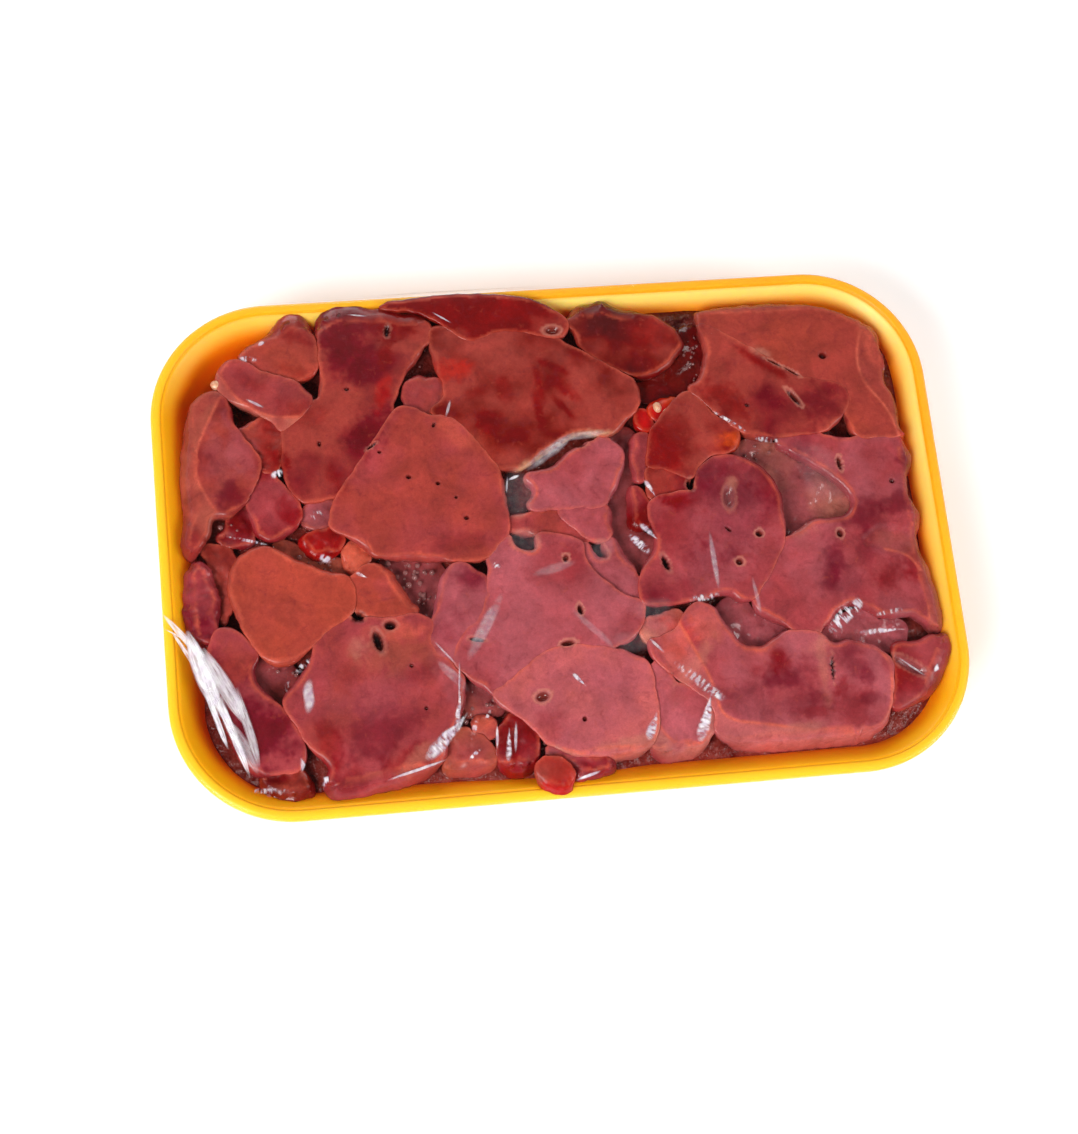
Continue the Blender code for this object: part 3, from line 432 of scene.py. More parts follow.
def turn(a, b, c):
    """Twice the signed area of the triangles with corners a, b and c."""
    ab, ac = b - a, c - a
    return ab[..., 0] * ac[..., 1] - ab[..., 1] * ac[..., 0]


def crossing_sides(loop):
    """The sides of the loop that cross another of its sides."""
    start, end = loop, np.roll(loop, -1, axis=0)
    a, b, c, d = start[:, None], end[:, None], start[None], end[None]
    cross = (turn(a, b, c) * turn(a, b, d) < 0) & (turn(c, d, a) * turn(c, d, b) < 0)
    return np.flatnonzero(cross.any(1))


def inset(loop, normals, amounts):
    """The loop moved in by an amount at each point, less where it would fold over itself."""
    rounds, least_stretch, easing = 80, 0.08, 0.85
    amounts = np.array(amounts, float) * np.ones(len(loop))
    sides = np.roll(loop, -1, axis=0) - loop
    for _ in range(rounds):
        moved = loop + normals * amounts[:, None]
        turned = ((np.roll(moved, -1, axis=0) - moved) * sides).sum(1)
        folded = np.flatnonzero(turned < least_stretch * (sides**2).sum(1))
        folded = np.union1d(folded, crossing_sides(moved)).astype(int)
        if not len(folded):
            break
        for near in (-1, 0, 1, 2):
            amounts[(folded + near) % len(loop)] *= easing
    return moved


def grid_inside(loop, step, clear=0.5):
    """Points on a staggered grid inside the loop, and clear of it by a share of the step."""
    low, high = loop.min(0), loop.max(0)
    rows = np.arange(low[1] + step / 2, high[1], step * math.sqrt(3) / 2)
    grid = np.array([
        (x, y)
        for i, y in enumerate(rows)
        for x in np.arange(low[0] + step / 2 * (1 + i % 2), high[0], step)
    ]).reshape(-1, 2)
    grid = grid[is_inside(loop, grid)]
    return grid[nearest_on(loop, grid)[0] > clear * step]


def triangles_over(loop, inner):
    """Triangles that cover the loop, using its own points and the inner ones."""
    points = [Vector(point) for point in np.vstack([loop, inner])]
    sides = [(i, (i + 1) % len(loop)) for i in range(len(loop))]
    made = delaunay_2d_cdt(points, sides, [], 1, MESH_FUSE)
    origin = [
        sources[0] if sources else min(range(len(points)), key=lambda i: (points[i] - place).length_squared)
        for place, sources in zip(made[0], made[3])
    ]
    faces = [tuple(origin[corner] for corner in face) for face in made[2]]
    return [face for face in faces if len(set(face)) == 3]


def ring_faces(lower, upper, count):
    """Triangles between two rings that start at these indices."""
    faces = []
    for i in range(count):
        following = (i + 1) % count
        faces.append((lower + i, lower + following, upper + following))
        faces.append((lower + i, upper + following, upper + i))
    return faces


def loft_faces(rings, count):
    """Triangles that join a stack of rings."""
    return [face for row in range(rings - 1) for face in ring_faces(row * count, (row + 1) * count, count)]


def shifted(faces, first, flip=False):
    """The faces over points that start at another index, turned over if need be."""
    return [tuple(corner + first for corner in (face[::-1] if flip else face)) for face in faces]


def add_object(name, data):
    obj = bpy.data.objects.new(name, data)
    bpy.context.scene.collection.objects.link(obj)
    return obj


def add_smooth(name, mesh, material):
    mesh.shade_smooth()
    mesh.materials.append(material)
    return add_object(name, mesh)


def add_mesh(name, points, faces, material):
    """An object from points in millimetres and faces."""
    mesh = bpy.data.meshes.new(name)
    mesh.from_pydata([tuple(point) for point in np.asarray(points) * METRES], [], faces)
    mesh.validate()
    mesh.update()
    return add_smooth(name, mesh, material)


def add_balls(name, bm, material):
    """An object from what has been built in a bmesh."""
    mesh = bpy.data.meshes.new(name)
    bm.to_mesh(mesh)
    bm.free()
    return add_smooth(name, mesh, material)


def add_attribute(obj, name, values):
    """Stores a number or a colour at each vertex."""
    values = np.asarray(values, np.float32)
    if values.ndim == 1:
        obj.data.attributes.new(name, "FLOAT", "POINT").data.foreach_set("value", values)
    else:
        values = np.column_stack([values, np.ones(len(values), np.float32)])
        obj.data.attributes.new(name, "FLOAT_COLOR", "POINT").data.foreach_set("color", values.ravel())


# Materials


class Nodes:
    """The nodes of a material or world, with short calls to add and join them."""

    def __init__(self, owner, place="Object"):
        self.owner = owner
        owner.use_nodes = True
        self.tree = owner.node_tree
        self.place = self.node("TexCoord", {}, place)

    def node(self, kind, inputs, output, **settings):
        """Adds a node, joins its inputs and returns one of its outputs."""
        node = self.tree.nodes.new("ShaderNode" + kind)
        for key, value in settings.items():
            setattr(node, key, value)
        for key, value in inputs.items():
            self.join(value, node.inputs[key])
        return node.outputs[output]

    def join(self, source, target):
        if isinstance(source, (int, float)):
            target.default_value = source
        elif isinstance(source, tuple):
            target.default_value = (*source, 1.0) if target.type == "RGBA" else source
        else:
            self.tree.links.new(source, target)

    def attribute(self, name, output="Fac"):
        return self.node("Attribute", {}, output, attribute_name=name)

    def noise(self, size, detail=3.0, roughness=0.55, stretch=(1.0, 1.0, 1.0), distortion=0.0):
        """Noise with clouds of a size in millimetres, from 0 to 1."""
        place = self.place
        if stretch != (1.0, 1.0, 1.0):
            place = self.node("Mapping", {"Vector": place, "Scale": stretch}, "Vector")
        return self.node("TexNoise", {
            "Vector": place, "Scale": 1 / (size * METRES), "Detail": detail, "Roughness": roughness,
            "Distortion": distortion,
        }, "Fac")

    def cell_walls(self, size):
        """Distance to the walls of cells of a size in millimetres."""
        inputs = {"Vector": self.place, "Scale": 1 / (size * METRES)}
        return self.node("TexVoronoi", inputs, "Distance", feature="DISTANCE_TO_EDGE")

    def ranged(self, value, low, high, to_low=0.0, to_high=1.0):
        inputs = {"Value": value, "From Min": low, "From Max": high, "To Min": to_low, "To Max": to_high}
        return self.node("MapRange", inputs, "Result")

    def maths(self, operation, first, second):
        return self.node("Math", {0: first, 1: second}, 0, operation=operation)

    def mix(self, share, first, second, kind="MIX"):
        return self.node("Mix", {0: share, 6: first, 7: second}, 2, data_type="RGBA", blend_type=kind)

    def grey(self, value):
        return self.node("CombineColor", {"Red": value, "Green": value, "Blue": value}, "Color")

    def bump(self, height, distance, strength, **before):
        inputs = {"Height": height, "Distance": distance * METRES, "Strength": strength, **before}
        return self.node("Bump", inputs, "Normal")

    def set(self, **values):
        """Joins values to the material's main shader, and returns the material."""
        for key, value in values.items():
            self.join(value, self.tree.nodes["Principled BSDF"].inputs[key.replace("_", " ")])
        return self.owner


def material_nodes(name):
    return Nodes(bpy.data.materials.new(name))


def liver_material(name, gloss=0.0):
    """Raw liver: clouded and finely grained, matt where the film presses it and wet where it is free."""
    n = material_nodes(name)
    tint = n.attribute("tint", "Color")
    free = n.attribute("free")
    blotch = n.ranged(n.noise(9.0, 4.0, 0.55, distortion=0.8), 0.3, 0.7, 0.76, 1.2)
    grain = n.ranged(n.noise(1.3, 4.0, 0.65), 0.3, 0.7, 0.89, 1.1)
    speck = n.ranged(n.noise(0.4, 2.0, 0.5), 0.3, 0.7, 0.93, 1.07)
    shade = n.maths("MULTIPLY", n.maths("MULTIPLY", blotch, grain), speck)
    colour = n.mix(1.0, tint, n.grey(shade), "MULTIPLY")
    purple = n.ranged(n.noise(3.4, 5.0, 0.65, distortion=1.0), 0.54, 0.74, 0.0, 0.45)
    colour = n.mix(purple, colour, srgb(112, 32, 42))
    warm = n.ranged(n.noise(2.2, 4.0, 0.6, distortion=0.5), 0.6, 0.78, 0.0, 0.35)
    colour = n.mix(warm, colour, srgb(178, 74, 52))
    uneven = n.ranged(n.noise(2.0), 0, 1, -0.05, 0.05)
    roughness = n.maths("ADD", n.ranged(free, 0.0, 1.0, 0.46 - gloss, 0.16), uneven)
    surface = n.bump(n.noise(0.7, 4.0, 0.6), 0.05, 0.5)
    surface = n.bump(n.noise(3.0, 3.0), 0.25, 0.3, Normal=surface)
    return n.set(
        Base_Color=colour,
        Roughness=roughness,
        Normal=surface,
        IOR=1.38,
        Specular_IOR_Level=n.ranged(free, 0.0, 1.0, 0.22, 0.6),
        Subsurface_Weight=0.12,
        Subsurface_Radius=(1.0, 0.25, 0.15),
        Subsurface_Scale=0.0016,
    )


def foam_material():
    """Yellow foam of fairly even colour, with fine cells and a satin skin, and painted light on it: a paler
    painted highlight and a golden tint by which way it faces the light, and deep orange painted shade down
    the inner wall.
    """
    n = material_nodes("yellow_foam")
    drift = n.ranged(n.noise(30.0, 2.0), 0.3, 0.7, 0.0, 1.0)
    colour = n.mix(drift, srgb(255, 172, 0), srgb(255, 164, 0))
    mottle = n.ranged(n.noise(1.6, 3.0), 0.35, 0.65, 0.0, 0.14)
    colour = n.mix(mottle, colour, srgb(255, 190, 30))
    # Painted light: a golden tint and a paler painted highlight, by which way each part of the tray faces the
    # light
    colour = n.mix(n.attribute("painted_light_gold"), colour, srgb(255, 208, 0))
    colour = n.mix(n.attribute("pale"), colour, srgb(255, 228, 124))
    # Painted shade: deep orange down the inner wall toward the food
    colour = n.mix(n.attribute("deep"), colour, srgb(246, 104, 0))
    cells = n.ranged(n.cell_walls(1.1), 0.0, 0.12)
    surface = n.bump(cells, 0.04, 0.25)
    surface = n.bump(n.noise(9.0, 2.0), 0.25, 0.35, Normal=surface)
    return n.set(
        Base_Color=colour,
        Roughness=n.ranged(n.noise(4.0), 0.3, 0.7, 0.32, 0.44),
        Normal=surface,
        IOR=1.5,
        Specular_IOR_Level=0.3,
        Subsurface_Weight=0.35,
        Subsurface_Radius=(1.0, 0.45, 0.04),
        Subsurface_Scale=0.008,
    )


def juice_material():
    """Dark juice between the livers, thin and grey-brown where it foams."""
    n = material_nodes("juice")
    colour = n.mix(n.ranged(n.noise(5.0, 4.0, 0.6), 0.35, 0.65), srgb(84, 12, 8), srgb(128, 44, 36))
    colour = n.mix(n.ranged(n.noise(1.6, 3.0), 0.5, 0.75, 0.0, 0.6), colour, srgb(150, 78, 70))
    surface = n.bump(n.noise(2.6, 4.0), 1.1, 0.8)
    return n.set(Base_Color=colour, Roughness=0.12, Normal=surface, IOR=1.36)


def film_material():
    """Clear stretch film: see-through face on, and more of a mirror where it is seen at a slant."""
    n = material_nodes("clear_film")
    slant = n.maths("POWER", n.node("LayerWeight", {"Blend": 0.5}, "Facing"), 5.5)
    alpha = n.ranged(slant, 0.0, 1.0, 0.02, 0.75)
    crease = n.bump(n.noise(14.0, 2.0, 0.5, stretch=(1.0, 1.0, 0.3)), 0.5, 0.3)
    surface = n.bump(n.noise(3.2, 2.0, 0.5), 0.12, 0.25, Normal=crease)
    return n.set(
        Base_Color=(0.97, 0.97, 0.98),
        Metallic=1.0,
        Roughness=0.12,
        Alpha=alpha,
        Normal=surface,
    )


def glint_material():
    """Painted glints: white patches that stand in for reflections where the film has let go in crumples, with
    clear film between them.
    """
    n = material_nodes("film_glint")
    crumple = n.ranged(n.noise(0.7, 2.0, 0.5), 0.3, 0.6, 0.7, 1.0)
    return n.set(
        Base_Color=n.mix(n.ranged(n.noise(1.4), 0.4, 0.6), srgb(250, 246, 250), srgb(206, 190, 208)),
        Roughness=0.25,
        Alpha=n.maths("MULTIPLY", crumple, n.attribute("fade")),
        Normal=n.bump(n.noise(1.1, 3.0), 0.3, 0.6),
    )


def streak_material():
    """Painted reflections: bright white streaks that stand in for the lamps' reflection where the film is
    pulled into long folds.
    """
    n = material_nodes("painted_streak_reflection")
    fade = n.attribute("fade")
    grain = n.ranged(n.noise(1.0, 2.0), 0.35, 0.6, 0.85, 1.0)
    return n.set(
        Base_Color=n.mix(n.ranged(n.noise(2.0), 0.4, 0.6), srgb(253, 251, 253), srgb(236, 228, 238)),
        Roughness=0.2,
        Alpha=n.maths("MULTIPLY", fade, grain),
    )


def fat_material():
    """Pale fat, a little see-through."""
    n = material_nodes("fat")
    colour = n.mix(n.ranged(n.noise(0.8), 0.35, 0.65), srgb(232, 188, 150), srgb(205, 132, 104))
    return n.set(
        Base_Color=colour,
        Roughness=0.3,
        Normal=n.bump(n.noise(0.6), 0.2, 0.4),
        Subsurface_Weight=0.3,
        Subsurface_Radius=(1.0, 0.5, 0.3),
        Subsurface_Scale=0.001,
    )


def bubble_material():
    """Bubbles of juice, clear and wet."""
    n = material_nodes("bubble")
    return n.set(
        Base_Color=srgb(168, 112, 110),
        Roughness=n.ranged(n.noise(0.8), 0.0, 1.0, 0.05, 0.12),
        IOR=1.33,
        Alpha=0.55,
    )


LIVER = liver_material("liver")
DEEP = liver_material("liver_deep", gloss=0.3)


# Livers


def outline_from(node):
    """The widest outline of a packed liver, as a loop in millimetres."""
    bm = bmesh.new()
    bm.from_mesh(node.data)
    bmesh.ops.remove_doubles(bm, verts=bm.verts, dist=1e-6)
    bm.normal_update()
    up = {face for face in bm.faces if face.normal.z > 1e-4}
    edges = [edge for edge in bm.edges if sum(face in up for face in edge.link_faces) == 1]
    loops = []
    while edges:
        loop = list(edges.pop().verts)
        while loop[-1] != loop[0]:
            edge = next(edge for edge in loop[-1].link_edges if edge in edges)
            edges.remove(edge)
            loop.append(edge.other_vert(loop[-1]))
        loops.append(np.array([(v.co.x, v.co.y) for v in loop[:-1]]) / METRES)
    bm.free()
    return max(loops, key=lambda loop: abs(signed_area(loop)))


def widths_of(loop, normals):
    """How far each point is from the other side of the loop, straight in."""
    widths = np.full(len(loop), 1e3)
    step = np.roll(loop, -1, axis=0) - loop
    for i, (point, normal) in enumerate(zip(loop, normals)):
        away = loop - point
        cross = normal[0] * step[:, 1] - normal[1] * step[:, 0]
        cross = np.where(np.abs(cross) < 1e-9, 1e-9, cross)
        reach = (away[:, 0] * step[:, 1] - away[:, 1] * step[:, 0]) / cross
        share = (away[:, 0] * normal[1] - away[:, 1] * normal[0]) / cross
        hits = reach[(reach > 0.05) & (share >= 0) & (share <= 1)]
        if len(hits):
            widths[i] = hits.min()
    return widths


def smoothed(values, rounds):
    """Values round a loop, each evened out with its neighbours."""
    for _ in range(rounds):
        values = (np.roll(values, 1) + 2 * values + np.roll(values, -1)) / 4
    return values


def placed(mid_x, mid_y, along, across, degrees):
    """Where points lie that are given along and across a turned shape from its middle."""
    angle = math.radians(degrees)
    return (
        mid_x + along * math.cos(angle) - across * math.sin(angle),
        mid_y + along * math.sin(angle) + across * math.cos(angle),
    )


def turned_offset(x, y, mid_x, mid_y, half_length, half_width, degrees):
    """How far out of an ellipse each point lies: 0 in the middle, 1 on its edge."""
    along, across = placed(0, 0, x - mid_x, y - mid_y, -degrees)
    return np.hypot(along / half_length, across / half_width)


def hole_points(loop):
    """Extra points round the holes in this liver, so that each has a clean edge."""
    rings = []
    for mid_x, mid_y, half_length, half_width, degrees, _, _ in HOLES:
        if not is_inside(loop, np.array([(mid_x, mid_y)]))[0]:
            continue
        rings.append((mid_x, mid_y))
        for size in HOLE_RINGS:
            count = min(max(8, round(2 * math.pi * size * half_length / HOLE_STEP)), 28)
            for step in range(count):
                turned = 2 * math.pi * (step + size) / count
                along, across = size * half_length * math.cos(turned), size * half_width * math.sin(turned)
                rings.append(placed(mid_x, mid_y, along, across, degrees))
    return np.array(rings).reshape(-1, 2)


def open_curve(points):
    """The open line with its corners cut, as points at even steps."""
    line = np.array(points, float)
    for _ in range(3):
        cut = np.repeat(line, 2, axis=0)
        cut[1:-1:2] = 0.75 * line[:-1] + 0.25 * line[1:]
        cut[2::2] = 0.25 * line[:-1] + 0.75 * line[1:]
        line = cut[1:]
        line[0] = points[0]
    return even_points(line, CURVE_STEP, False)


def past_line(line, plan):
    """How far each point lies from an open line, more than zero on the line's right."""
    step = np.diff(line, axis=0)
    away = plan[:, None] - line[:-1]
    share = np.clip((away * step).sum(2) / (step**2).sum(1), 0, 1)
    gap = away - share[..., None] * step
    reach = np.hypot(gap[..., 0], gap[..., 1])
    nearest = reach.argmin(1)
    away = away[np.arange(len(plan)), nearest]
    step = step[nearest]
    return reach.min(1) * np.sign(step[:, 1] * away[:, 0] - step[:, 0] * away[:, 1])


def contact_points(curve):
    """Rows of points beside a contact line, so that it is crisp."""
    along = np.gradient(curve, axis=0)
    side = np.column_stack([along[:, 1], -along[:, 0]]) / np.hypot(*along.T)[:, None]
    return np.vstack([curve + side * offset for offset in CONTACT_ROWS])


def face_points(name, rim):
    """Points inside a liver's rounded edge: a grid, with rings at holes and rows at its contact line."""
    inner = grid_inside(rim, FACE_STEP)
    if name.startswith("under_"):
        return inner
    holes = hole_points(rim)
    if len(holes):
        holes = holes[is_inside(rim, holes) & (nearest_on(rim, holes)[0] > 0.25)]
        offsets = np.min([turned_offset(*inner.T, *hole[:5]) for hole in HOLES], axis=0)
        inner = np.vstack([inner[offsets > HOLE_CLEAR], holes])
    if name in CONTACTS:
        curve = open_curve(CONTACTS[name][0])
        rows = contact_points(curve)
        rows = rows[is_inside(rim, rows)]
        rows = rows[nearest_on(rim, rows)[0] > 0.3]
        inner = np.vstack([inner[np.abs(past_line(curve, inner)) > CONTACT_CLEAR], rows])
    return inner


def within(offset, edge, sharpness):
    """1 where an offset is well inside an edge and 0 well outside it, with a soft step between."""
    return 1 / (1 + np.exp((offset - edge) * sharpness))


def blend(colour, tone, cover):
    """The colours, covered in part by a tone."""
    cover = cover[:, None]
    return colour * (1 - cover) + np.array(TONES[tone]) * cover


def apply_contact(name, x, y, colour, seed):
    """Paints the contact line of this liver. Returns how much each point drops past it and the colours."""
    if name not in CONTACTS:
        return 0, colour
    wobble = 0.8 + clouds(x, y, 5.0, seed + 9.0, 2)
    points, width, tone, strength = CONTACTS[name]
    past = past_line(open_curve(points), np.column_stack([x, y]))
    side = np.interp(past, (-0.2, 0.8, width, width + 2), (0, 1, 0.8, 0))
    colour = blend(colour, tone, side * strength * np.clip(wobble, 0.4, 1))
    line = np.exp(-((past / LINE_WIDTH) ** 2)) * CONTACT_LINE * np.clip(wobble, 0.3, 1)
    return CONTACT_SLOPE * np.clip(past, 0, width) * (side > 0), blend(colour, "salmon", line)


def clouded(x, y, main, second, seed):
    """Colours of a liver at each point, clouded from its main tone to its second."""
    share = np.clip(0.32 + 1.1 * clouds(x, y, 13.0, seed, 4), 0, 1) * 0.8
    return blend(np.array(TONES[main]), second, share)


def painted(x, y, colour, seed, from_edge, edge_size):
    """The colours with the patches and the line along the edge."""
    wobble = clouds(x, y, 5.0, seed + 9.0, 3)
    ragged = clouds(x, y, 1.6, seed + 5.0, 2)
    for *ellipse, tone, strength in PATCHES:
        offset = turned_offset(x, y, *ellipse) + PATCH_WOBBLE * wobble + PATCH_RAGGED * ragged
        colour = blend(colour, tone, strength * within(offset, 0.9, PATCH_SHARPNESS))
    line = np.exp(-(((from_edge - edge_size * 0.95) / LINE_WIDTH) ** 2)) * LINE_STRENGTH
    line = line * np.clip(edge_size / 1.3, 0.75, 1) * np.clip(0.75 + 0.8 * wobble, 0.2, 1)
    return blend(colour, "salmon", line)


def apply_holes(x, y, colour):
    """Sinks and darkens the holes. Returns how deep each point sinks and the new colours."""
    sunk = np.zeros(len(x))
    for mid_x, mid_y, half_length, half_width, degrees, depth, kind in HOLES:
        near = np.hypot(x - mid_x, y - mid_y) < HOLE_REACH * max(half_length, half_width) + 1
        if not near.any():
            continue
        offset = turned_offset(x[near], y[near], mid_x, mid_y, half_length, half_width, degrees)
        sunk[near] = np.maximum(sunk[near], depth * within(offset, 0.82, HOLE_SHARPNESS))
        tone, rim_strength = HOLE_LOOKS[kind]
        inside = blend(colour[near], tone, within(offset, 0.9, HOLE_TONE_SHARPNESS))
        colour[near] = blend(inside, "pale", np.exp(-(((offset - 1.22) / 0.2) ** 2)) * rim_strength)
    return sunk, colour


def edge_of(name, loop, widths, outlines, depths):
    """How wide a liver's rounded edge is and how far it drops, at each point of its outline."""
    clear = np.full(len(loop), FAR)
    for other, other_loop in outlines.items():
        if other != name and depths[other] <= depths[name] + NEIGHBOUR_DROP:
            clear = np.minimum(clear, clearance(loop, other_loop, NEIGHBOUR_REACH))
    wall = np.interp(depth_inside(*loop.T), WALL_BAND, (1.0, 0.0)) * (0.0 if "_over_" in name else 1.0)
    widest = SMALL_EDGE if signed_area(loop) < SMALL_AREA else GAP_EDGE
    edge = np.maximum(np.interp(clear, GAP_RANGE, (TIGHT_EDGE, widest)), wall * WALL_EDGE)
    edge = smoothed(np.minimum(edge, EDGE_SHARE * widths), SMOOTHING_ROUNDS)
    edge = np.maximum(edge, THINNEST_EDGE)
    to_wall = heap_top(*loop.T) - depths[name] - (tray_surface(*loop.T) + SKIN)
    drop = np.where(wall > 0.3, np.maximum(to_wall, 0.3), edge * EDGE_DROP)
    return edge, smoothed(np.minimum(drop, DEEPEST_DROP), SMOOTHING_ROUNDS)


def relief_of(name, x, y, seed, is_small):
    """Unevenness of a liver's surface: rough in the deep ones, lumpy in the small ones."""
    if name.startswith("under_"):
        return 0.9 * clouds(x, y, 5.0, seed + 4.0, 3) + 0.25 * clouds(x, y, 1.6, seed + 2.0, 2)
    relief = 0.05 * clouds(x, y, 5.0, seed + 4.0, 2)
    if is_small:
        lumps = LUMPS if name.startswith(LUMPY) else FAINT_LUMPS
        relief = relief + np.minimum(lumps * clouds(x, y, 2.8, seed + 6.0, 3) - 0.12, 0)
    return relief


def add_liver(name, index, outlines, depths):
    """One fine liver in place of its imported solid."""
    is_under = name.startswith("under_")
    loop, depth = outlines[name], depths[name]
    normals = inward(loop)
    widths = widths_of(loop, normals)
    edge, drop = edge_of(name, loop, widths, outlines, depths)

    # Rings from the foot up to the face, each with how far it lies below the top
    rings = [
        (inset(loop, normals, np.minimum(2.4, 0.22 * widths)), np.full(len(loop), LAYER_THICKNESS - depth)),
        (inset(loop, normals, np.minimum(0.5, 0.1 * widths)), drop + FOOT_DROP),
    ]
    feet = len(rings)
    for share in EDGE_ROWS:
        rings.append((inset(loop, normals, edge * share), drop * (1 - math.sqrt(1 - (1 - share) ** 2))))
    rim = rings[-1][0]
    inner = face_points(name, rim)
    count = len(loop)
    plan = np.vstack([ring for ring, _ in rings] + [inner])
    below = np.concatenate([amount for _, amount in rings] + [np.zeros(len(inner))])
    x, y = plan.T
    from_edge, side = nearest_on(loop, plan)
    edge_size = edge[side]
    is_foot = np.arange(len(plan)) < count * feet
    free = np.where(is_foot, 1, np.clip(1.15 - from_edge / np.maximum(edge_size, 0.3), 0, 1))

    seed = index * 3.7
    colour = clouded(x, y, *LOOKS[name][:2], seed)
    if not is_under:
        colour = painted(x, y, colour, seed, from_edge, edge_size)
    colour = np.maximum(colour - VEIL, DARKEST)
    relief = relief_of(name, x, y, seed, signed_area(loop) < SMALL_AREA)
    if is_under:
        free = np.ones(len(plan))
    else:
        dropped, colour = apply_contact(name, x, y, colour, seed)
        sunk, colour = apply_holes(x, y, colour)
        relief = relief - dropped - np.where(is_foot, 0, sunk)
        free = np.maximum(free, np.clip(sunk * 1.5, 0, 1))
    height = np.maximum(heap_top(x, y) - depth - below + relief, tray_surface(x, y) + 0.12)

    faces = shifted(triangles_over(rings[0][0], np.empty((0, 2))), 0, flip=True)
    faces += loft_faces(len(rings), count)
    faces += shifted(triangles_over(rim, inner), (len(rings) - 1) * count)
    piece = add_mesh("fine_" + name, np.column_stack([x, y, height]), faces, DEEP if is_under else LIVER)
    add_attribute(piece, "tint", colour)
    add_attribute(piece, "free", free)
    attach(piece, "root")
    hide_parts(name)


def tuck_under(outlines, depths):
    """Pushes the edges of the lower livers a little way under their higher neighbours."""
    tucked = {}
    for name, loop in outlines.items():
        grow = np.zeros(len(loop))
        for other, other_loop in outlines.items():
            is_higher = LOOKS[other][2] < LOOKS[name][2] and depths[other] < depths[name] + 0.3
            if is_higher:
                grow = np.maximum(grow, np.interp(clearance(loop, other_loop, 3), (0.3, 1.1), (OVERLAP, 0)))
        tucked[name] = inset(loop, inward(loop), -smoothed(grow, 3))
    return tucked


def add_livers():
    """Every liver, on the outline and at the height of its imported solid."""
    outlines, depths = {}, {}
    for name in LOOKS:
        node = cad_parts[name]
        loop = smooth_loop(outline_from(node))
        loop = even_points(np.vstack([loop, loop[:1]]), OUTLINE_STEP, True)
        is_small = signed_area(loop) <= SMALL_AREA
        grow = UNDER_CLOSING if name.startswith("under_") else SMALL_CLOSING if is_small else SEAM_CLOSING
        ragged = SMALL_RAGGED_EDGE if is_small else RAGGED_EDGE
        uneven = ragged * clouds(*loop.T, 3.2, len(outlines) * 1.7, 3)
        outlines[name] = inset(loop, inward(loop), uneven - grow)
        x, y, z = np.array([vertex.co for vertex in node.data.vertices]).T / METRES
        depths[name] = max(0.0, float((heap_top(x, y) - z).min())) + LEVEL_STEP * LOOKS[name][2]
    outlines = tuck_under(outlines, depths)
    for index, name in enumerate(LOOKS):
        add_liver(name, index, outlines, depths)


# Tray


def rim_loop(distance, side_step=SIDE_STEP):
    """The tray's outline, a rounded rectangle, at a distance in from the rim's edge."""
    radius = max(CORNER_RADIUS - distance, SMALLEST_RADIUS)
    middle = np.array([LENGTH, WIDTH]) / 2 - max(distance + SMALLEST_RADIUS, CORNER_RADIUS)
    corners = []
    for quarter, signs in enumerate(((1, 1), (-1, 1), (-1, -1), (1, -1))):
        angle = np.radians(90 * (quarter + np.linspace(0, 1, ARC_STEPS + 1)))
        corners.append(middle * signs + radius * np.column_stack([np.cos(angle), np.sin(angle)]))
    loop = []
    for quarter, corner in enumerate(corners):
        parts = round((WIDTH if quarter % 2 else LENGTH) / side_step)
        loop += [corner, np.linspace(corner[-1], corners[(quarter + 1) % 4][0], parts + 1)[1:-1]]
    return np.vstack(loop)


def bent(start, corner, end, share):
    """Points at a share of the way along a curve from the start, toward the corner, to the end."""
    return (1 - share) ** 2 * start + 2 * share * (1 - share) * corner + share**2 * end


def rounded_profile(profile):
    """The profile with each corner cut by a short curve."""
    points = [np.array(point) for point in profile]
    made = [points[0]]
    for before, corner, after in zip(points, points[1:], points[2:]):
        ends = []
        for other in (before, after):
            away = math.dist(other, corner)
            ends.append(corner + (other - corner) / away * min(PROFILE_RADIUS, away * 0.45))
        made += [bent(ends[0], corner, ends[1], share) for share in (0.0, 0.33, 0.67, 1.0)]
    return made + [points[-1]]


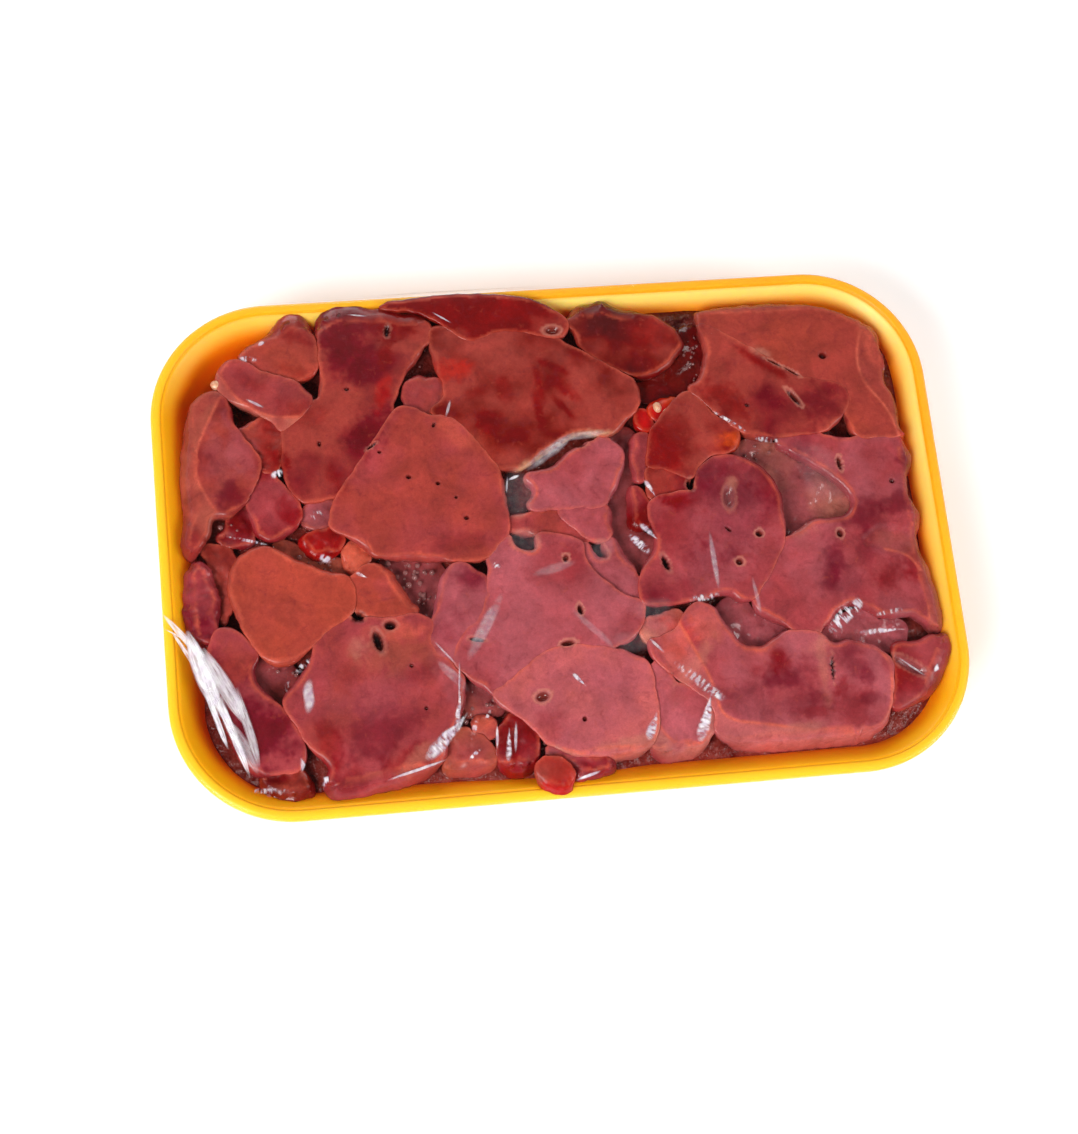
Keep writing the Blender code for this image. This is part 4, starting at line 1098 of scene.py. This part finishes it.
def add_tray():
    """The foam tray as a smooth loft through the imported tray's profile."""
    profile = rounded_profile(TRAY_OUTSIDE[::-1] + TRAY_INSIDE)
    rings = []
    for start, end in zip(profile, profile[1:] + profile[-1:]):
        parts = max(1, round(math.dist(start, end) / WALL_STEP))
        for share in np.linspace(0, 1, parts, endpoint=False):
            distance, height = start + (end - start) * share
            loop = rim_loop(distance)
            rings.append(np.column_stack([loop, np.full(len(loop), height)]))
    count = len(rings[0])
    last = (len(rings) - 1) * count
    faces = loft_faces(len(rings), count)
    faces += [tuple(range(count))[::-1], tuple(range(last, last + count))]
    points = np.vstack(rings)
    tray = add_mesh("foam_tray", points, faces, foam_material())

    # Painted light on the foam: a paler painted highlight on the rim and on the inner walls that face the
    # light, a more golden tint where the rim faces away from it, and deep orange painted shade down the inner
    # wall
    x, y, z = points.T
    distance = depth_inside(x, y)
    is_inner = (distance > 3.2) & (z > tray_surface(x, y) - 1)
    facing_light = np.interp(0.7 * x / LENGTH + y / WIDTH, (-0.05, 0.5), (0, 1))
    painted_highlight_band = np.interp(distance, (3.2, 3.9, 5.6, 8.0), (0.5, 1, 0.75, 0))
    rim = np.interp(distance, (0.0, 1.2, 2.4, 3.2), (0.1, 0.35, 0.2, 0.0))
    # Painted shade: deeper orange from 5 to 9.5 mm in, toward the food
    low = np.interp(distance, (5.0, 9.5), (0.0, 1.0))
    add_attribute(tray, "painted_light_gold", np.where(is_inner, 0.3 * painted_highlight_band, (0.3 + rim) * (1 - facing_light)))
    add_attribute(tray, "pale", np.where(is_inner, 0.85 * painted_highlight_band * facing_light, 0.35 * rim))
    add_attribute(tray, "deep", np.where(is_inner, low, 0.0))
    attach(tray, "root")
    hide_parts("tray")


# Juice, bubbles and fat

JUICE_DEPTH = 6.6
JUICE_THICKNESS = 1.2
BED_DEPTH = 13.9
BED_EDGE_DEPTH = 14.6
BED_SKIN = 0.4

# Where the juice lies lower: (x, y, reach along x, reach along y, depth)
JUICE_HOLLOWS = ((-93, 62, 17, 15, 14.4), (-98, -30, 8, 25, 4.5))


def juice_height(x, y):
    """Height of the juice: high between the livers, and low in its hollows."""
    height = heap_top(x, y) - JUICE_DEPTH
    for mid_x, mid_y, reach_x, reach_y, depth in JUICE_HOLLOWS:
        height = height - depth * np.exp(-(((x - mid_x) / reach_x) ** 2) - ((y - mid_y) / reach_y) ** 2)
    return height


def add_juice():
    """Juice that fills the gaps between the livers, down into the lower layer."""
    edge = []
    for far, near in zip(rim_loop(4.0), rim_loop(26.0)):
        for share in np.linspace(0, 1, 60):
            point = far + (near - far) * share
            if juice_height(*point) > tray_surface(*point) - 0.6:
                break
        edge.append(point)
    edge = np.array(edge)
    inner = grid_inside(edge, JUICE_STEP)
    x, y = np.vstack([edge, inner]).T
    top = juice_height(x, y) + 0.35 * clouds(x, y, 7.0, 2.0, 3)
    top[: len(edge)] -= 0.3
    triangles = triangles_over(edge, inner)
    faces = triangles + shifted(triangles, len(x), flip=True) + ring_faces(len(x), 0, len(edge))
    points = np.vstack([np.column_stack([x, y, height]) for height in (top, top - JUICE_THICKNESS)])
    juice = add_mesh("juice", points, faces, juice_material())
    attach(juice, "root")


def add_bed():
    """The lower layer, wet and uneven."""
    edge, foot = rim_loop(15.5), rim_loop(20.0)
    inner = grid_inside(edge, BED_STEP)
    x, y = np.vstack([edge, inner]).T
    top = heap_top(x, y) - BED_DEPTH + 0.5 * clouds(x, y, 12.0, 5.0, 3)
    top[: len(edge)] = heap_top(*edge.T) - BED_EDGE_DEPTH
    first, count = len(x), len(edge)
    faces = triangles_over(edge, inner) + ring_faces(first, 0, count)
    faces += ring_faces(first + count, first, count)
    faces.append(tuple(range(first + count, first + 2 * count))[::-1])
    points = np.vstack([
        np.column_stack([x, y, top]),
        np.column_stack([edge, tray_surface(*edge.T) + BED_SKIN]),
        np.column_stack([foot, tray_surface(*foot.T) + BED_SKIN]),
    ])
    piece = add_mesh("deep_livers", points, faces, DEEP)
    colour = clouded(*points[:, :2].T, "brown", "pit", 77.0)
    add_attribute(piece, "tint", np.maximum(colour - VEIL, DARKEST))
    add_attribute(piece, "free", np.ones(len(points)))
    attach(piece, "root")
    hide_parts("liver_bed")


# Stretches with bubbles: (x, y, half length, half width, how many, smallest, largest)
BUBBLES = (
    (-44, -10, 8, 5, 26, 0.35, 0.95), (-40, -17, 3, 4, 12, 0.3, 0.8), (-70, -4, 8, 3, 18, 0.3, 0.8),
    (-90, 8, 5, 3, 12, 0.3, 0.8), (-27, -50, 6, 5, 16, 0.3, 0.8), (-78, -35, 4, 3, 8, 0.3, 0.7),
    (-36, 56, 3, 5, 12, 0.2, 0.6), (44, 52, 2, 8, 22, 0.2, 0.6), (-12, -63, 6, 3, 12, 0.3, 0.8),
    (-83, -65, 5, 2, 10, 0.3, 0.8), (60, 19, 6, 3, 10, 0.2, 0.6),
)


def add_bubbles():
    """Small bubbles that stand in the wet gaps."""
    rng = random.Random(7)
    bm = bmesh.new()
    for mid_x, mid_y, reach_x, reach_y, count, smallest, largest in BUBBLES:
        for _ in range(count):
            x = rng.gauss(mid_x, reach_x * 0.55)
            y = rng.gauss(mid_y, reach_y * 0.55)
            size = rng.uniform(smallest, largest)
            z = heap_top(x, y) - rng.uniform(4.2, 5.6)
            place = Matrix.Translation((x * METRES, y * METRES, z * METRES))
            bmesh.ops.create_icosphere(bm, subdivisions=2, radius=size * METRES, matrix=place)
    bubbles = add_balls("bubbles", bm, bubble_material())
    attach(bubbles, "root")


# Film

FILM_GAP = 0.14
HEM = TRAY_BASE - 0.4

# The film from its hem under the tray, up the walls and over the rim: (distance in from the rim, height)
FILM_ROWS = (
    (40.0, HEM), (30.0, HEM), (22.0, HEM), (16.2, HEM), (14.8, HEM + 0.1), (13.2, HEM + 0.7),
    (11.9, HEM + 1.6), (9.0, 6.5), (6.0, 12.3), (3.0, 18.1), (0.6, 22.6), (-0.3, 24.6),
    (-0.5, 26.2), (-0.4, 27.3), (-0.05, 28.0), (0.5, 28.28),
)
FILM_FACE = 1.6
SWELLS_FROM = 27.9


def film_height(x, y):
    """Height of the film over the heap and rim."""
    return heap_top(x, y) + FILM_GAP


def add_film():
    """The clear wrap: over the heap, round the rim, down the walls and folded under."""
    rings = []
    for distance, height in FILM_ROWS:
        loop = rim_loop(distance, FILM_SIDE_STEP)
        angle = np.arctan2(loop[:, 1], loop[:, 0])
        fold = clouds(np.cos(angle) * 40, np.sin(angle) * 40, 2.2, 3.0, 2)
        amount = np.interp(height, (HEM, 3.0, 20.0, 26.0), (0.0, 0.5, 0.45, 0.0))
        loop = inset(loop, inward(loop), np.clip(fold, -0.4, 1.0) * amount)
        rise = heap_top(*loop.T) - RIM_TOP - 0.1 if height > SWELLS_FROM else np.zeros(len(loop))
        rings.append(np.column_stack([loop, height + rise]))
    edge = rim_loop(FILM_FACE, FILM_SIDE_STEP)
    rings.append(np.column_stack([edge, film_height(*edge.T)]))
    inner = grid_inside(edge, FILM_STEP, 0.6)
    count = len(edge)
    faces = loft_faces(len(rings), count)
    faces += shifted(triangles_over(edge, inner), (len(rings) - 1) * count)
    points = np.vstack(rings + [np.column_stack([inner, film_height(*inner.T)])])
    film = add_mesh("stretch_film", points, faces, film_material())
    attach(film, "root")
    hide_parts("film")


def join_sheets(name, sheets, material, flip=False):
    """Thin sheets on the film as one mesh, each from its steps, strips, x, y, lift and how much it shows."""
    points, faces, fades = [], [], []
    for steps, strips, x, y, lift, fade in sheets:
        first = sum(len(part) for part in points)
        for step in range(steps):
            for strip in range(strips):
                a = first + step * (strips + 1) + strip
                b = a + strips + 1
                faces.append((a, a + 1, b + 1, b) if flip else (a, b, b + 1, a + 1))
        points.append(np.column_stack([x, y, film_height(x, y) + lift]))
        fades.append(fade)
    piece = add_mesh(name, np.vstack(points), faces, material)
    add_attribute(piece, "fade", np.concatenate(fades))
    return piece


def sheet_grid(steps, strips, start):
    """Places along a sheet, from a start to 1, and across it, from -1 to 1."""
    u, v = np.meshgrid(np.linspace(start, 1, steps + 1), np.linspace(-1, 1, strips + 1), indexing="ij")
    return u.ravel(), v.ravel()


STREAK_STRIPS = 18
STREAK_STEPS = 60

# Painted reflection streaks: (start, bend, end, width at the start, width at the middle, strength)
STREAKS = (
    ((-112.4, -15.0), (-106.5, -22.5), (-101.0, -31.0), 0.4, 2.0, 0.85),
    ((-110.3, -20.0), (-105.5, -28.0), (-102.0, -36.0), 0.3, 1.3, 0.85),
    ((-112.4, -19.0), (-107.5, -22.0), (-104.5, -25.0), 0.2, 0.5, 0.7),
    ((-106.0, -20.5), (-102.5, -33.0), (-98.0, -46.0), 0.8, 5.4, 1.0),
    ((-102.0, -37.0), (-99.4, -47.0), (-97.0, -54.5), 2.6, 1.7, 1.0),
    ((-100.5, -38.0), (-96.6, -48.0), (-93.0, -58.0), 1.6, 1.3, 0.95),
    ((-99.0, -40.0), (-95.0, -51.0), (-91.8, -62.5), 3.0, 2.3, 1.0),
    ((-102.5, -26.0), (-96.5, -37.0), (-91.6, -49.0), 1.8, 4.6, 0.7),
    ((-94.5, -38.0), (-90.8, -49.0), (-89.0, -60.5), 3.0, 2.6, 0.55),
    ((-97.5, -46.0), (-92.5, -54.0), (-89.5, -62.0), 2.0, 4.0, 0.35),
)


def streak_sheets():
    """The fan of painted reflections: bright streaks where the film is pulled into folds at the near left."""
    share, place = sheet_grid(STREAK_STEPS, STREAK_STRIPS, 0)
    part = share[:, None]
    for number, (start, bend, end, width_start, width_middle, strength) in enumerate(STREAKS):
        start, bend, end = (np.array(point) for point in (start, bend, end))
        along = 2 * (1 - part) * (bend - start) + 2 * part * (end - bend)
        across = np.column_stack([-along[:, 1], along[:, 0]]) / np.hypot(*along.T)[:, None]
        swell = np.sin(np.pi * share) ** 0.8
        width = (width_start * (1 - share) + 0.05) * (1 - swell) + width_middle * swell
        x, y = (bent(start, bend, end, part) + across * (width * place / 2)[:, None]).T
        lines = clouds(share * 1.6, place * width_middle * 0.5, 0.3, number * 2.3, 3)
        soft = np.clip(1.6 * (1 - place * place), 0, 1) * np.clip(5 * share + 0.15, 0, 1)
        fade = strength * soft * np.clip(5 * (1 - share), 0, 1) * np.clip(0.9 + 0.8 * lines, 0.3, 1)
        yield STREAK_STEPS, STREAK_STRIPS, x, y, 0.06 + 0.01 * number, fade


def add_streaks():
    streaks = join_sheets("painted_streak_reflections", streak_sheets(), streak_material(), flip=True)
    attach(streaks, "root")


# Glints, painted highlights and sheen on the film: (x, y, half length, half width, turn in degrees, strength,
# kind)
GLINTS = (
    (-74.5, -42, 5.0, 1.7, 82, 0.6, "smear"), (-38, -56, 9, 2.4, 42, 1.0, "flame"),
    (-34.2, -49, 5.0, 0.9, 78, 0.9, "flame"), (-47, -64.5, 9, 0.5, 14, 0.7, "smear"),
    (18.6, -58, 4.2, 1.8, 68, 1.0, "flame"), (33.5, -57, 7.0, 2.2, 72, 1.0, "flame"),
    (33, -47, 9.5, 1.6, -40, 0.55, "crinkle"), (36.5, -50, 3.4, 0.9, -55, 0.9, "crinkle"),
    (77, -31, 7.5, 2.3, 38, 1.0, "crinkle"), (87, -36.3, 7, 1.0, 0, 0.95, "flame"),
    (90, -31, 5, 0.8, 10, 0.5, "crinkle"), (37, -23.4, 4.6, 1.1, 8, 0.75, "crinkle"),
    (-0.5, -43.8, 2.6, 0.8, -48, 0.95, "flame"), (-21.5, -60, 4.8, 1.0, 84, 1.0, "flame"),
    (-30.5, -55, 3.0, 0.8, 70, 0.6, "crinkle"), (-0.6, -70.2, 3.8, 0.5, 16, 0.9, "smear"),
    (23.6, -3.2, 3.4, 1.1, -48, 1.0, "flame"), (20.6, -6.6, 4.2, 1.3, -50, 1.0, "crinkle"),
    (25.6, 9.5, 3.0, 0.9, -62, 0.9, "flame"), (-68.5, 9, 1.7, 1.5, 20, 0.95, "crinkle"),
    (-78.3, 21.9, 2.0, 1.2, 15, 0.95, "crinkle"), (-67, -4, 2.0, 1.2, -28, 0.9, "crinkle"),
    (-57.5, -9.5, 1.8, 0.7, -30, 0.85, "flame"), (-88, 3.4, 6.0, 0.5, -18, 0.7, "crinkle"),
    (-84, 57.4, 2.6, 1.0, -12, 0.9, "crinkle"), (-83, 43.6, 3.0, 0.5, -32, 0.5, "smear"),
    (-80, 62, 1.2, 0.7, 30, 0.7, "smear"), (-71.5, -65.5, 1.8, 1.5, 0, 0.9, "crinkle"),
    (-77.5, -60.5, 0.8, 2.4, 0, 0.8, "flame"), (-87, -66.5, 5.4, 0.8, -4, 0.6, "crinkle"),
    (-75.4, -33.6, 2.8, 1.0, 42, 0.8, "crinkle"), (-79.8, -38.8, 1.0, 1.6, 0, 0.6, "crinkle"),
    (-12.6, 15.4, 1.8, 0.5, 20, 0.85, "smear"), (51, 28.2, 6.4, 0.6, -38, 0.9, "crinkle"),
    (61.5, 21.8, 3.8, 0.9, -8, 0.85, "crinkle"), (-52, 69, 3, 0.3, -12, 0.5, "smear"),
    (-28, 66.2, 3.4, 0.3, -35, 0.6, "smear"), (101.5, -48, 0.8, 1.8, -30, 0.85, "flame"),
    (94, -47, 5.0, 0.4, -38, 0.4, "smear"), (-20.4, -9.6, 1.8, 1.0, -40, 0.9, "crinkle"),
    (41.2, -13, 0.9, 9, 2, 0.3, "smear"), (52, -24, 0.7, 6, 6, 0.2, "smear"),
    (-29, 37.6, 2.8, 0.5, 70, 0.4, "smear"), (-25, -27, 1.9, 11, -32, 0.3, "veil"),
    (-35, -40, 6, 1.4, -50, 0.3, "veil"), (-4, -12, 7, 1.6, 12, 0.12, "smear"),
    (5, -30, 9, 1.1, -48, 0.12, "smear"), (-2, 22.3, 9, 1.8, 34, 0.4, "veil"),
    (8, 26.6, 7.5, 1.2, 6, 0.35, "veil"), (-12.2, 10.5, 8.0, 5.0, 84, 0.055, "mist"),
    (-11.2, -2.8, 5.4, 4.2, -20, 0.05, "mist"), (10.0, -7.0, 4.4, 3.4, 30, 0.05, "mist"),
    (75, 12, 12, 7, -60, 0.045, "mist"), (15.5, -34.5, 6.5, 3.4, -10, 0.05, "mist"),
    (22.0, -25.5, 7.0, 3.4, 10, 0.05, "mist"), (22, -36, 3.0, 0.5, -50, 0.5, "smear"),
    (-14.8, 13.4, 2.6, 0.35, 80, 0.45, "smear"), (-24.5, -57.5, 3.4, 0.45, 84, 0.7, "smear"),
    (-19.5, -58.0, 4.4, 0.5, 84, 0.6, "smear"), (-31.0, -61.5, 2.6, 0.6, 40, 0.8, "crinkle"),
    (-26.5, -51.5, 2.2, 0.5, 60, 0.7, "crinkle"), (-33.5, -42.0, 6.5, 0.35, 84, 0.45, "smear"),
    (-36.5, -33.5, 5.0, 0.35, -52, 0.35, "smear"),
)


def glint_strength(kind, u, v, half_length, half_width, seed):
    """How white a glint is, over its length u and width v, which run from -1 to 1."""
    if kind == "flame":
        v = v / np.clip(0.12 + 0.55 * (1 - u), 0.12, 1)
    soft = np.clip(1.5 * (1 - u * u - v * v), 0, 1)
    if kind in ("smear", "mist"):
        return soft**1.5
    if kind == "veil":
        feather = clouds(u * half_length * 0.5, v * half_width, 2.6, seed, 3)
        return soft * np.clip(0.65 + 0.6 * feather, 0.1, 1)
    lines = clouds(u * half_length, v * half_width * 0.3, 0.8, seed, 3)
    if kind == "flame":
        return soft * np.clip(0.75 + 1.1 * lines, 0.1, 1)
    return soft * np.clip(0.3 + 2.4 * lines, 0.0, 1)


def glint_sheets():
    """Painted highlights where the film has let go of the livers in crumples and shines, painted sheen and
    haze of the film over the livers and gaps, and pale skins on the livers.
    """
    for number, (mid_x, mid_y, half_length, half_width, degrees, strength, kind) in enumerate(GLINTS):
        steps, strips = (max(8, round(2 * size / GLINT_STEP)) for size in (half_length, half_width))
        u, v = sheet_grid(steps, strips, -1)
        bend = 0.25 * half_width * clouds(u * half_length, np.zeros(len(u)), 6.0, number, 2)
        x, y = placed(mid_x, mid_y, u * half_length, v * half_width + bend, degrees)
        lift = 0.08 + 0.07 * clouds(x, y, 0.8, number, 2)
        fade = strength * glint_strength(kind, u, v, half_length, half_width, number * 3.1)
        yield steps, strips, x, y, lift, fade


def add_glints():
    glints = join_sheets("film_glints", glint_sheets(), glint_material())
    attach(glints, "root")


# Fat: (x, y, half length, half width, turn in degrees, height over the film's inside)
FAT = (
    (-93.4, 50.6, 1.7, 1.5, -30, 0.0), (34.0, 33.0, 1.9, 0.9, 25, -0.4), (31.0, 34.2, 1.2, 1.7, 10, -0.2),
)
FAT_FLATNESS = 0.75


def add_fat():
    """Bits of fat, as uneven flattened balls."""
    bm = bmesh.new()
    for mid_x, mid_y, half_length, half_width, degrees, lift in FAT:
        z = float(heap_top(mid_x, mid_y)) - FAT_FLATNESS * half_width + lift
        place = Matrix.Translation((mid_x * METRES, mid_y * METRES, z * METRES))
        place = place @ Matrix.Rotation(math.radians(degrees), 4, "Z")
        place = place @ Matrix.Diagonal((half_length, half_width, FAT_FLATNESS * half_width, 1.0))
        made = bmesh.ops.create_icosphere(bm, subdivisions=3, radius=METRES, matrix=place)
        for vertex in made["verts"]:
            wobble = noise.noise(vertex.co * 900) * 0.22 * METRES
            vertex.co += Vector((wobble, wobble * 0.6, -abs(wobble) * 0.3))
    fat = add_balls("fat_bits", bm, fat_material())
    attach(fat, "root")


# Stage, light and camera

CAMERA_TARGET = (-0.0075, -0.0094, 0.028)
CAMERA_DISTANCE = 0.6164
CAMERA_AZIMUTH = 25.03
CAMERA_ELEVATION = 72.57
CAMERA_ROLL = 19.76
CAMERA_LENS = 69.71
SENSOR_WIDTH = 36
CLIP_START = 0.01

# The floor glows a little near the pack and more further off, so that it meets the white horizon
FLOOR_SIZE = 60.0
FLOOR_LEVEL = -0.0002
FLOOR_GLOW = 0.3
FAR_GLOW = 0.95
GLOW_FROM, GLOW_TO = 0.6, 2.0
HORIZON_LIGHT = 1.0
OVERHEAD_LIGHT = 0.08

# Lamps that face the pack: (name, place, size, power)
LAMPS = (
    ("key", (-0.95, -0.85, 1.15), (0.8, 0.8), 29.5),
    ("side", (1.2, -0.5, 1.1), (0.8, 0.8), 13.5),
    ("back", (-0.3, 1.5, 0.9), (1.2, 0.5), 9.0),
)


def add_stage():
    """A plain pale floor."""
    bpy.ops.mesh.primitive_plane_add(size=FLOOR_SIZE, location=(0, 0, FLOOR_LEVEL))
    floor = bpy.context.object
    floor.name = "floor"
    n = material_nodes("floor")
    distance = n.node("VectorMath", {0: n.place}, "Value", operation="LENGTH")
    floor.data.materials.append(n.set(
        Base_Color=(0.93, 0.93, 0.93),
        Roughness=0.9,
        Emission_Color=(1.0, 1.0, 1.0),
        Emission_Strength=n.ranged(distance, GLOW_FROM, GLOW_TO, FLOOR_GLOW, FAR_GLOW),
    ))


def add_world():
    """Soft white light, strongest from the horizon."""
    world = bpy.data.worlds.new("studio")
    bpy.context.scene.world = world
    n = Nodes(world, "Generated")
    rise = n.node("SeparateXYZ", {"Vector": n.place}, "Z")
    inputs = n.tree.nodes["Background"].inputs
    n.join((1.0, 1.0, 1.0), inputs["Color"])
    n.join(n.ranged(rise, 0.0, 0.5, HORIZON_LIGHT, OVERHEAD_LIGHT), inputs["Strength"])


def add_lamps():
    """Large soft lamps, aimed at the pack."""
    for name, place, size, power in LAMPS:
        data = bpy.data.lights.new(name, "AREA")
        data.shape = "RECTANGLE"
        data.size, data.size_y = size
        data.energy = power
        lamp = add_object(name, data)
        lamp.location = place
        lamp.rotation_euler = (-Vector(place)).to_track_quat("-Z", "Y").to_euler()


def add_camera():
    """The photo's camera."""
    azimuth, elevation = math.radians(CAMERA_AZIMUTH), math.radians(CAMERA_ELEVATION)
    flat = -math.cos(elevation)
    back = Vector((math.sin(azimuth) * flat, math.cos(azimuth) * flat, math.sin(elevation)))
    turned = back.to_track_quat("Z", "Y").to_matrix().to_4x4()
    turned = turned @ Matrix.Rotation(math.radians(CAMERA_ROLL), 4, "Z")
    data = bpy.data.cameras.new("camera")
    data.lens = CAMERA_LENS
    data.sensor_width = SENSOR_WIDTH
    data.clip_start = CLIP_START
    camera = add_object("camera", data)
    camera.matrix_world = Matrix.Translation(Vector(CAMERA_TARGET) + back * CAMERA_DISTANCE) @ turned
    bpy.context.scene.camera = camera


add_camera()
add_tray()
add_livers()
add_bed()
add_juice()
add_bubbles()
add_fat()
add_film()
add_streaks()
add_glints()
add_stage()
add_world()
add_lamps()
bpy.context.scene.view_settings.view_transform = "Standard"
